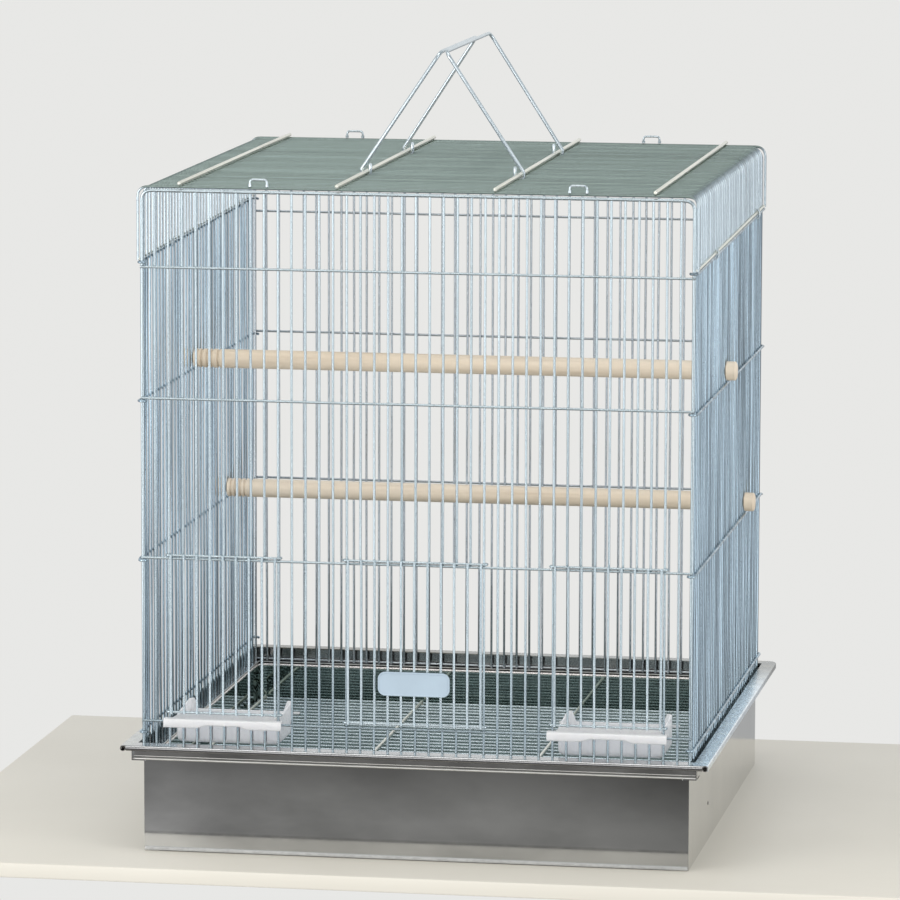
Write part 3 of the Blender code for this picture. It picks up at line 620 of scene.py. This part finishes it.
def cup(node):
    """A cup with a soft bottom edge, walls that climb to the back, and a stepped lip."""
    low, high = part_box(node)
    middle = (low.x + high.x) / 2
    half = CUP_RIBS / 2 * PITCH - WIRE / 2 - CUP_CLEAR
    front, back = CUP_FRONT - HALF, high.y
    top = FRONT_LOW_CROSS + WIRE / 2 + CUP_CLEAR + CUP_WALL
    back_top = top - CUP_BACK_DROP
    centre_y, half_y = (front + back) / 2, (back - front) / 2
    outer = rounded_ring((middle - half, middle + half), (front, back), CUP_CORNER)
    outer = finer(outer, CUP_MESH)

    def inset(amount):
        """The outer ring drawn in by the amount."""
        wide, deep = 1 - amount / half, 1 - amount / half_y
        return [(middle + (x - middle) * wide, centre_y + (y - centre_y) * deep)
                for x, y in outer]

    def level(amount, height):
        return [(x, y, low.z + height) for x, y in inset(amount)]

    def rim(amount, below=0.0):
        """The walls' top: level in front, climbing along the sides, low across the back."""
        ring = []
        for (x, y), (outer_x, outer_y) in zip(inset(amount), outer):
            depth = (outer_y - front) / (back - front)
            share = max(0.0, depth - CUP_LEVEL) / (1 - CUP_LEVEL)
            height = top + (high.z - top) * share
            if outer_y > back - CUP_CORNER and abs(outer_x - middle) < half - 1.2 * CUP_CORNER:
                height = back_top
            ring.append((x, y, height - below))
        return ring

    shape = lofted([
        *[level(amount, height) for amount, height in CUP_OUTSIDE],
        rim(0.0, CUP_EDGE), rim(CUP_EDGE), rim(CUP_WALL - CUP_EDGE), rim(CUP_WALL, CUP_EDGE),
        *[level(amount, height) for amount, height in CUP_INSIDE]])
    add(shape, cup_lip(middle, half, front, low.y, top))
    for number in range(CUP_RIBS):
        rib_x = middle - half + (number + CUP_RIB_PLACE) * PITCH
        section = [(rib_x + x, front + y) for x, y in CUP_RIB_SECTION]
        add(shape, raised(section, low.z + CUP_RIB_FOOT, top - CUP_WALL))
    for side in (-1, 1):
        edge = middle + side * half
        outline = rounded_ring(
            sorted((edge - side * CUP_TAB_INWARD, edge + side * CUP_TAB_OUTWARD)),
            (back - CUP_TAB_DEPTH, back - CUP_TAB_SUNK), CUP_TAB_CORNER, 3)
        add(shape, raised(outline, back_top - CUP_WALL, back_top - CUP_TAB_SUNK))
    return mesh_object(node, shape)


def perch(node):
    """A turned rod with fine ring grooves near both ends and a slot for the side wires."""
    low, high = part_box(node)
    centre_y, centre_z = (low.y + high.y) / 2, (low.z + high.z) / 2
    radius, end = (high.z - low.z) / 2, high.x
    core = PITCH / 2 - WIRE / 2 - CLEAR
    shoulder = radius - PERCH_SLOT_EDGE
    profile = [(end, 0.0), *[(end - x, radius - below) for x, below in PERCH_EDGE]]
    profile += [(HALF + PERCH_SLOT + PERCH_SLOT_EDGE, radius), (HALF + PERCH_SLOT, shoulder),
                (HALF + PERCH_SLOT, core), (HALF - PERCH_SLOT, core),
                (HALF - PERCH_SLOT, shoulder), (HALF - PERCH_SLOT - PERCH_SLOT_EDGE, radius)]
    for place in PERCH_GROOVES:
        profile += [(HALF - place + x, radius - below) for x, below in PERCH_GROOVE]
    profile += [(end * share, radius) for share in PERCH_STATIONS]
    profile = [*profile, *[(-x, wide) for x, wide in reversed(profile)]]
    turns = [math.tau * step / PERCH_SIDES for step in range(PERCH_SIDES)]
    rings = []
    for x, wide in profile:
        wide = max(wide, PERCH_TIP)
        rings.append([(x, centre_y + wide * math.cos(turn), centre_z + wide * math.sin(turn))
                      for turn in turns])
    return mesh_object(node, lofted(rings))


def badge():
    """A blank plate with round corners and a fine raised border."""
    low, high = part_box("badge_plate")
    radius = (high.z - low.z) / 2 * BADGE_ROUNDNESS
    field = low.y + BADGE_RISE
    rings = []
    for inset, y in ((0.0, high.y), (0.0, field + BADGE_EDGE), (BADGE_EDGE, low.y),
                     (BADGE_BORDER, low.y), (BADGE_BORDER + BADGE_EDGE, field),
                     (BADGE_BORDER + BADGE_FIELD, field)):
        ring = rounded_ring((low.x + inset, high.x - inset), (low.z + inset, high.z - inset),
                            max(radius - inset, 0.001), 7)
        rings.append([(x, y, z) for x, z in ring])
    return mesh_object("badge_plate", lofted(rings))


# Sheet metal: sections are pairs of a reach from the wires outward and a height

def round_three_sides(section):
    """A closed section swept along the two sides and the back."""
    start = -HALF - RIM_FRONT + BEAD
    turns = [math.radians(90 * step / RIM_CORNER_STEPS) for step in range(RIM_CORNER_STEPS + 1)]
    lines = []
    for reach, z in section:
        radius = max(0.0, reach - RIM_SIDE + RIM_CORNER)
        outer = HALF + reach
        back = outer + (RIM_FRONT - RIM_SIDE if reach > RIM_STEP else 0.0)
        left = [(-outer + radius - radius * math.cos(turn), back - radius + radius * math.sin(turn))
                for turn in turns]
        right = [(-x, y) for x, y in reversed(left)]
        lines.append([(x, y, z) for x, y in ((-outer, start), *left, *right, (outer, start))])
    return lofted([list(ring) for ring in zip(*lines)])


def along_front(section, half_length):
    """A closed section drawn out along the front."""
    return lofted([[(x, -HALF - reach, z) for reach, z in section]
                   for x in (-half_length, half_length)])


def ledge_section(reach):
    """An upright face below the rim's top, and the ledge at its foot."""
    return [(reach, RIM_TOP - SHEET), (reach, RIM_BOTTOM), (RIM_LEDGE, RIM_BOTTOM),
            (RIM_LEDGE, RIM_BOTTOM + SHEET), (reach - SHEET, RIM_BOTTOM + SHEET),
            (reach - SHEET, RIM_TOP - SHEET)]


def rim_flange():
    """The flat top of the rim with a lip folded down, at the two sides and the back."""
    fold = arc((RIM_SIDE - RIM_EDGE, RIM_TOP - RIM_EDGE), RIM_EDGE, 90, 0, 4)
    return mesh_object("rim_frame_flange", round_three_sides([
        (RIM_OPENING, RIM_TOP), *fold,
        (RIM_SIDE, RIM_TOP - RIM_LIP), (RIM_SIDE - SHEET, RIM_TOP - RIM_LIP),
        (RIM_SIDE - SHEET, RIM_TOP - SHEET), (RIM_OPENING, RIM_TOP - SHEET)]))


def rim_bead():
    """The front of the rim: a flat strip that ends in a rolled bead."""
    reach, height = RIM_FRONT - BEAD, RIM_TOP - BEAD
    end, foot = reach - BEAD / 2, RIM_TOP - 2 * BEAD
    rolled = [*arc((reach, height), BEAD, 90, -90, 12), (end, foot), (end, foot + SHEET),
              *arc((reach, height), BEAD - SHEET, -90, 90, 12)]
    strip = [(reach, RIM_TOP - SHEET), (reach, RIM_TOP),
             (RIM_FRONT_OPENING, RIM_TOP), (RIM_FRONT_OPENING, RIM_TOP - SHEET)]
    shape = along_front(rolled, HALF + RIM_SIDE - 2 * BEAD)
    add(shape, along_front(strip, HALF + RIM_OPENING))
    return mesh_object("rim_frame_bead", shape)


def rim_corners():
    """The open ends of the side lips' rolls, which face the front at the rim's corners."""
    front = -HALF - RIM_FRONT
    hole = BEAD - SHEET / 2
    shape = bmesh.new()
    for side in (-1, 1):
        centre = (side * (HALF + RIM_SIDE - BEAD), RIM_TOP - BEAD)
        rings = []
        for radius, y in ((hole, front + ROLL_DEPTH), (hole, front), (BEAD, front),
                          (BEAD, front + ROLL_DEPTH + SHEET)):
            rings.append([(x, y, z) for x, z in circle(centre, radius, 24)])
        add(shape, lofted(rings))
    return mesh_object("rim_frame_corners", shape)


def rim_step():
    """The upright step below the rim's top at the sides and the back, with its ledge."""
    return mesh_object("rim_frame_step", round_three_sides(ledge_section(RIM_STEP)))


def rim_apron():
    """The upright face of the rim in front, and the ledge behind it that the wires stand on."""
    return mesh_object("rim_frame_apron", along_front(ledge_section(RIM_APRON), HALF + RIM_STEP))


def rim_hem():
    """The two folded edges along the foot of the rim's front face, and the ledge's edge."""
    low = arc((RIM_APRON, RIM_BOTTOM + HEM), HEM, 90, -90, 8)
    high = arc((RIM_APRON, RIM_BOTTOM + HIGH_HEM_RISE), HIGH_HEM, 90, -90, 8)
    ledge = circle((RIM_LEDGE, RIM_BOTTOM + SHEET / 2), LEDGE_HEM, 8)
    shape = along_front(low, HALF + RIM_STEP)
    add(shape, along_front(high, HALF + RIM_STEP))
    add(shape, round_three_sides(ledge))
    return mesh_object("rim_frame_hem", shape)


def plate_hem():
    """The turned-up edge along the foot of the drawer's face plate."""
    low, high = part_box("drawer_front")
    section = [(-HALF - low.y + out, low.z + up) for out, up in PLATE_HEM]
    return mesh_object("drawer_front_hem", along_front(section, high.x - PLATE_HEM_INSET))


def rivet(name, y, z):
    """The small round head of a rivet in the right base wall."""
    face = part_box("base_wall_right")[1].x
    rings = []
    for radius, proud in RIVET_HEAD:
        rings.append([(face + proud, *point) for point in circle((y, z), radius, 12)])
    return mesh_object(name, lofted(rings))


def tray_bead():
    """The rolled top edge of the tray, as a closed wire."""
    low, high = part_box("drawer_tray")
    middle = SHEET / 2
    ring = rounded_ring((low.x + middle, high.x - middle), (low.y + middle, high.y - middle),
                        TRAY_CORNER, 6)
    path = [(x, y, high.z - TRAY_BEAD / 2) for x, y in ring]
    return [([*path, path[0]], 2 * TRAY_BEAD)]


# Shader parts

def nodes_of(name):
    """A new material with its node tree, its shader and the place on the object."""
    finish = bpy.data.materials.new(name)
    finish.use_nodes = True
    tree = finish.node_tree
    place = tree.nodes.new("ShaderNodeTexCoord")
    return finish, tree, tree.nodes["Principled BSDF"], place.outputs["Object"]


def noise(tree, place, scale, detail=4.0, stretch=None):
    """A noise value over the object's own space, finer along the axes with more stretch."""
    if stretch:
        mapping = tree.nodes.new("ShaderNodeMapping")
        mapping.inputs["Scale"].default_value = stretch
        tree.links.new(place, mapping.inputs["Vector"])
        place = mapping.outputs["Vector"]
    texture = tree.nodes.new("ShaderNodeTexNoise")
    texture.inputs["Scale"].default_value = scale
    texture.inputs["Detail"].default_value = detail
    tree.links.new(place, texture.inputs["Vector"])
    return texture.outputs["Fac"]


def ramp(tree, value, stops):
    """The value turned into a colour through the given stops."""
    ramp_node = tree.nodes.new("ShaderNodeValToRGB")
    elements = ramp_node.color_ramp.elements
    while len(elements) < len(stops):
        elements.new(0.5)
    for element, (position, colour) in zip(elements, stops):
        element.position = position
        element.color = (*colour, 1.0)
    tree.links.new(value, ramp_node.inputs["Fac"])
    return ramp_node.outputs["Color"]


def ranged(tree, value, start, end, low=0.0, high=1.0):
    """The value, from start to end, turned into a number from low to high."""
    remap = tree.nodes.new("ShaderNodeMapRange")
    for name, number in (("From Min", start), ("From Max", end), ("To Min", low), ("To Max", high)):
        remap.inputs[name].default_value = number
    tree.links.new(value, remap.inputs["Value"])
    return remap.outputs["Result"]


def mixed(tree, factor, first, second, blend="MIX"):
    """A colour mix; the factor is a socket or a number, the others sockets or colours."""
    mix = tree.nodes.new("ShaderNodeMix")
    mix.data_type = "RGBA"
    mix.blend_type = blend
    for name, value in (("Factor", factor), ("A", first), ("B", second)):
        if isinstance(value, bpy.types.NodeSocket):
            tree.links.new(value, mix.inputs[name])
        else:
            mix.inputs[name].default_value = value if name == "Factor" else (*value, 1.0)
    return mix.outputs["Result"]


def bumped(tree, shader, height, strength, distance):
    bump = tree.nodes.new("ShaderNodeBump")
    bump.inputs["Strength"].default_value = strength
    bump.inputs["Distance"].default_value = distance
    tree.links.new(height, bump.inputs["Height"])
    tree.links.new(bump.outputs["Normal"], shader.inputs["Normal"])


def shades(colour, spread):
    """A darker and a lighter version of a colour."""
    return (tuple(part * (1 - spread) for part in colour),
            tuple(min(1.0, part * (1 + spread)) for part in colour))


def glossed(tree, shader, fine, low, high):
    """The middle of a noise, 0.3 to 0.7, sets the roughness from low to high."""
    tree.links.new(ranged(tree, fine, 0.3, 0.7, low, high), shader.inputs["Roughness"])


def metal(name, colour, roughness, spread=0.10, patch=60, grain=300, bump=0.0, stretch=None,
          detail=3.0, painted_light=()):
    """Metal whose tone and gloss vary in patches or in streaks.

    Each band of the painted light is an axis, a start, an end and a colour, and paints light
    or shade: up to the start the tone stays, and from the end on it is multiplied by the colour.
    """
    finish, tree, shader, place = nodes_of(name)
    shader.inputs["Metallic"].default_value = 1.0
    dark, light = shades(colour, spread)
    patches = noise(tree, place, patch, detail, stretch)
    tone = ramp(tree, patches, ((0.32, dark), (0.50, colour), (0.68, light)))
    for axis, start, end, light_factor in painted_light:
        split = tree.nodes.new("ShaderNodeSeparateXYZ")
        tree.links.new(place, split.inputs["Vector"])
        share = ranged(tree, split.outputs[axis], start, end)
        tone = mixed(tree, share, tone, light_factor, "MULTIPLY")
    tree.links.new(tone, shader.inputs["Base Color"])
    fine = noise(tree, place, grain, 2.0, stretch)
    glossed(tree, shader, fine, roughness * 0.8, roughness * 1.25)
    if bump:
        bumped(tree, shader, fine, bump, FINE_DEPTH)
    return finish


def plastic(name, colour, roughness, spread=0.03, depth=0.0):
    """Smooth plastic with faint clouds; light enters it to the given depth."""
    finish, tree, shader, place = nodes_of(name)
    dark, light = shades(colour, spread)
    clouds = noise(tree, place, 45, 3.0)
    tree.links.new(ramp(tree, clouds, ((0.35, dark), (0.65, light))), shader.inputs["Base Color"])
    fine = noise(tree, place, 700, 2.0)
    glossed(tree, shader, fine, roughness * 0.85, roughness * 1.2)
    bumped(tree, shader, fine, 0.05, FINE_DEPTH)
    if depth:
        shader.inputs["Subsurface Weight"].default_value = 0.8
        shader.inputs["Subsurface Scale"].default_value = depth
        shader.inputs["Subsurface Radius"].default_value = (0.9, 0.95, 1.0)
    shader.inputs["Coat Weight"].default_value = 0.15
    return finish


def wood(name, pale, dark):
    """Pale turned wood: long grain, finer pores and a few darker streaks."""
    finish, tree, shader, place = nodes_of(name)
    grain = noise(tree, place, 60, 6.0, (0.12, 3.0, 3.0))
    streaks = noise(tree, place, 16, 3.0, (0.10, 2.0, 2.0))
    light = tuple(min(1.0, part * 1.08) for part in pale)
    tone = ramp(tree, grain, ((0.30, dark), (0.48, pale), (0.75, light)))
    streak = ramp(tree, streaks, ((0.42, (0.90, 0.86, 0.80)), (0.60, (1.0, 1.0, 1.0))))
    tree.links.new(mixed(tree, 0.8, tone, streak, "MULTIPLY"), shader.inputs["Base Color"])
    pores = noise(tree, place, 420, 3.0, (0.10, 1.0, 1.0))
    glossed(tree, shader, pores, 0.45, 0.62)
    bumped(tree, shader, pores, 0.25, 0.0003)
    return finish


# Finishes; streaks run along the axis with the least stretch
ALONG_Y, ALONG_Z = (1.0, 0.03, 1.0), (1.0, 1.0, 0.03)
ZINC = metal("zinc_wire", (0.53, 0.60, 0.63), 0.24, spread=0.08, stretch=ALONG_Z)
# Front wires: darker below 0.20 m towards their feet, as painted shade.
FRONT = metal("front_wire", (0.51, 0.58, 0.61), 0.24, spread=0.08, stretch=ALONG_Z,
              painted_light=[("Z", 0.20, 0.11, (0.66, 0.69, 0.71))])
REAR = metal("rear_wire", (0.46, 0.49, 0.51), 0.22, stretch=ALONG_Z)
SIDES = metal("side_wire", (0.35, 0.43, 0.485), 0.24, spread=0.45, patch=110, grain=150,
              stretch=ALONG_Z)
# Roof wires: the flat top is darker and greener than the bends and the skirt, as a painted
# reflection of the ceiling.
ROOF = metal("roof_wire", (0.52, 0.585, 0.62), 0.22, spread=0.15, patch=170,
             stretch=(0.006, 1.0, 0.02),
             painted_light=[("Z", ROOF_HEIGHT - 0.002, ROOF_HEIGHT, (0.44, 0.48, 0.42))])
# Roof bars and skirt wires: a pale cream far lighter than the zinc, as painted highlight.
BARS = metal("roof_bar", (0.86, 0.84, 0.74), 0.28, spread=0.05, patch=50, stretch=ALONG_Y)
CHROME = metal("handle_wire", (0.60, 0.66, 0.69), 0.24, spread=0.05, patch=50)
BASE = metal("base_sheet", (0.60, 0.59, 0.56), 0.14, spread=0.06, patch=16,
             stretch=(1.0, 1.0, 0.25))
# Face plate: darker towards the top as painted shade under the rim, darker below 0.0145 m as
# painted shade on the bright band at its foot, lighter towards the left end as painted glare, and
# darker towards the right end as painted shade.
PLATE = metal("drawer_sheet", (0.63, 0.63, 0.615), 0.08, spread=0.32, patch=12, grain=160,
              stretch=(0.5, 1.0, 1.0), detail=9.0,
              painted_light=[("Z", 0.030, 0.078, (0.50, 0.50, 0.50)),
                     ("Z", 0.0165, 0.0145, (0.64, 0.64, 0.64)),
                     ("X", -0.10, -0.21, (1.28, 1.28, 1.30)),
                     ("X", 0.02, 0.21, (0.68, 0.68, 0.68))])
PLATE_EDGE = metal("drawer_hem", (0.40, 0.40, 0.39), 0.50, spread=0.04, patch=40)
# A darker copy of the rim's sheet for the step and the apron: painted shade.
APRON = metal("rim_inner_sheet", (0.375, 0.37, 0.36), 0.12, spread=0.25, patch=20)
# The rim's flange: far brighter and bluer than the rim's other sheet, as painted highlight, and
# darker towards the left and the back, as painted shade.
RIM = metal("rim_sheet", (0.86, 0.92, 0.97), 0.27, spread=0.12, patch=90, grain=450, bump=0.14,
            painted_light=[("X", 0.05, -0.10, (0.70, 0.66, 0.60)), ("Y", 0.11, 0.20, (0.44, 0.41, 0.37))])
HEMMED = metal("rim_hem", (0.66, 0.65, 0.62), 0.35, spread=0.04, patch=40)
# The front bead: darker on its lower half, as painted shade.
BEADED = metal("rim_bead", (0.54, 0.535, 0.53), 0.20, patch=30,
               painted_light=[("Z", RIM_TOP - 0.2 * BEAD, RIM_TOP - BEAD, (0.38, 0.38, 0.39))])
# The grille's bars: the same zinc as its cross wires, drawn far lighter and creamier, as painted
# highlight.
EDGES = metal("grille_bar_highlight", (0.98, 0.96, 0.88), 0.45, spread=0.03, patch=40)
# A near-black sheet: painted shade inside the open ends of the rim's rolls; the rivet heads take it
# too.
DARK_SHEET = metal("dark_sheet", (0.20, 0.19, 0.18), 0.35, patch=300)
# Tray: a dark sheet, as painted shade inside the tray below the grille.
TRAY = metal("tray_sheet", (0.26, 0.31, 0.29), 0.03, spread=0.08, patch=25)
# The tray's rolled edge: far lighter than the tray's sheet, as painted highlight.
ROLL = metal("tray_bead", (0.86, 0.80, 0.77), 0.25, spread=0.06, patch=40)
CUP = plastic("cup_plastic", (0.92, 0.945, 1.0), 0.30, spread=0.01, depth=0.022)
BADGE = plastic("badge_plastic", (0.39, 0.485, 0.565), 0.35)
WOOD = wood("perch_wood", (0.74, 0.65, 0.53), (0.63, 0.54, 0.43))

# Wire pieces; every panel, skirt, door and grille takes its straying in this order
panels = {
    "front_panel": (front_or_back(-1, FRONT_LOW_CROSS, DOORS.values()), FRONT),
    "back_panel": (front_or_back(1, BACK_LOW_CROSS, ()), REAR),
    "side_panel_left": (side_panel(-1), SIDES),
    "side_panel_right": (side_panel(1), SIDES),
}
for node, (runs, finish) in panels.items():
    placed(wire_object(node + "_wires", runs), "cage", node, finish)
roof_wires, skirt_wires = roof_panel()
placed(wire_object("roof_panel_wires", roof_wires), "cage", "roof_panel", ROOF)
# The skirt wires take the roof bars' painted highlight.
placed(wire_object("roof_panel_skirt_wires", skirt_wires), "cage", "roof_panel", BARS)
for name, side in (("left", -1), ("right", 1)):
    for place, number in zip(("front", "back"), TIE_GAPS):
        node = f"tie_ring_{name}_{place}"
        runs = tie_ring(side, number)
        placed(wire_object(node + "_wire", runs), "cage", node, CHROME)
for number in (1, 2, 3, 4):
    node = f"roof_bar_{number}"
    bar = wire_object(node + "_wire", roof_bar(node), round_ends=True)
    placed(bar, "cage", node, BARS)
for place in ("front", "back"):
    for name in ("left", "right"):
        node = f"staple_{place}_{name}"
        placed(wire_object(node + "_wire", staple(node)), "cage", node, CHROME)
for name, side in (("left", -1), ("right", 1)):
    node = "handle_" + name
    bail = wire_object(node + "_wire", handle(side, node), round_ends=True)
    placed(bail, node, node, CHROME)
for name in DOORS:
    node = "door_" + name
    placed(wire_object(node + "_wires", door(name)), node, node, ZINC)
cross_wires, long_bars = floor_grille()
# The grille's bars take the painted highlight finish.
for part, runs, finish in (("wires", cross_wires, ZINC), ("bars", long_bars, EDGES)):
    piece = wire_object("floor_grille_" + part, runs)
    placed(piece, "grille", "floor_grille", finish)

# Plastic and wood pieces
for name in ("left", "right"):
    node = "cup_" + name
    placed(cup(node), node, node, CUP)
for name in ("upper", "lower"):
    node = "perch_" + name
    placed(perch(node), node, node, WOOD)
placed(badge(), "door_centre", "badge_plate", BADGE)

# Sheet metal: the rim in its parts, small parts on the base, and the imported sheets
# The rim's pieces take lit and shaded copies of one sheet: painted highlight on the flange, painted
# shade on the step, the apron, the bead's lower half and inside the roll ends.
for piece, finish in ((rim_flange(), RIM), (rim_bead(), BEADED), (rim_step(), APRON),
                      (rim_apron(), APRON), (rim_corners(), DARK_SHEET), (rim_hem(), HEMMED)):
    placed(piece, "cage", "rim_frame", finish)
placed(plate_hem(), "drawer", None, PLATE_EDGE)
for place, (y, z) in RIVETS.items():
    placed(rivet("base_rivet_" + place, y, z), "cage", None, DARK_SHEET)
placed(wire_object("drawer_tray_bead", tray_bead()), "drawer", None, ROLL)
sheets = {"base_wall_left": BASE, "base_wall_right": BASE, "base_wall_back": BASE,
          "runner_left": BASE, "runner_right": BASE, "drawer_front": PLATE, "drawer_tray": TRAY}
for node, finish in sheets.items():
    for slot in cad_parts[node].material_slots:
        slot.material = finish


def table():
    """The table top that the cage stands on."""
    size = (TABLE_RIGHT - TABLE_LEFT, TABLE_BACK - TABLE_FRONT, TABLE_THICKNESS)
    centre = ((TABLE_RIGHT + TABLE_LEFT) / 2, (TABLE_BACK + TABLE_FRONT) / 2, -TABLE_THICKNESS / 2)
    shape = bmesh.new()
    bmesh.ops.create_cube(shape, size=1.0)
    bmesh.ops.scale(shape, verts=shape.verts, vec=size)
    bmesh.ops.translate(shape, verts=shape.verts, vec=centre)
    bmesh.ops.bevel(shape, geom=shape.edges[:], offset=TABLE_EDGE, segments=3, profile=0.5,
                    affect="EDGES")
    floor = mesh_object("table", shape)
    finish, tree, shader, place = nodes_of("table_top")
    patches = noise(tree, place, 6, 3.0)
    tree.links.new(ramp(tree, patches, TABLE_TONES), shader.inputs["Base Color"])
    shader.inputs["Roughness"].default_value = 0.45
    floor.data.materials.append(finish)


def room():
    """A pale room; glossy surfaces see it darker towards the camera and overhead."""
    world = bpy.data.worlds.new("room")
    bpy.context.scene.world = world
    world.use_nodes = True
    tree = world.node_tree
    rays = tree.nodes.new("ShaderNodeLightPath")
    direction = tree.nodes.new("ShaderNodeTexCoord")
    split = tree.nodes.new("ShaderNodeSeparateXYZ")
    tree.links.new(direction.outputs["Generated"], split.inputs["Vector"])
    x, y, z = (split.outputs[axis] for axis in "XYZ")
    across = ranged(tree, x, -1.0, 1.0)
    front = mixed(tree, ranged(tree, z, *ROOM_FRONT_RISE), ramp(tree, across, ROOM_FRONT_LOW),
                  ramp(tree, across, ROOM_FRONT_HIGH))
    rear = ramp(tree, ranged(tree, z, *ROOM_REAR_RISE), ROOM_REAR)
    level = mixed(tree, ranged(tree, y, *ROOM_TURN), front, rear)
    overhead = ramp(tree, ranged(tree, z, *ROOM_OVERHEAD_RISE), ROOM_OVERHEAD)
    seen = mixed(tree, 1.0, level, overhead, "MULTIPLY")
    lit = mixed(tree, rays.outputs["Is Glossy Ray"], ROOM_EVEN, seen)
    shown = mixed(tree, rays.outputs["Is Camera Ray"], lit, ROOM_WALL)
    tree.links.new(shown, tree.nodes["Background"].inputs["Color"])


def lamp(name, place, aim, width, height, radiance):
    """A soft lamp of an even radiance at a place, turned towards a point."""
    light = bpy.data.lights.new(name, "AREA")
    light.shape = "RECTANGLE"
    light.size, light.size_y = width, height
    light.energy = radiance * math.pi * width * height
    item = new_object(name, light)
    item.location = place
    item.rotation_euler = (Vector(aim) - Vector(place)).to_track_quat("-Z", "Y").to_euler()


def camera():
    """The photo's camera, fitted to the cage."""
    level = math.cos(ELEVATION)
    back = Vector((math.sin(AZIMUTH) * level, -math.cos(AZIMUTH) * level, math.sin(ELEVATION)))
    view = bpy.data.cameras.new("camera")
    view.sensor_width = SENSOR
    view.lens = FOCAL_SHARE * SENSOR
    view.clip_start, view.clip_end = 0.1, 50.0
    item = new_object("camera", view)
    item.location = TARGET + back * DISTANCE
    item.rotation_mode = "QUATERNION"
    item.rotation_quaternion = Quaternion(back, TILT) @ (-back).to_track_quat("-Z", "Y")
    bpy.context.scene.camera = item
    bpy.context.scene.view_settings.view_transform = "Standard"


table()
room()
for name, settings in LAMPS.items():
    lamp(name, *settings)
camera()
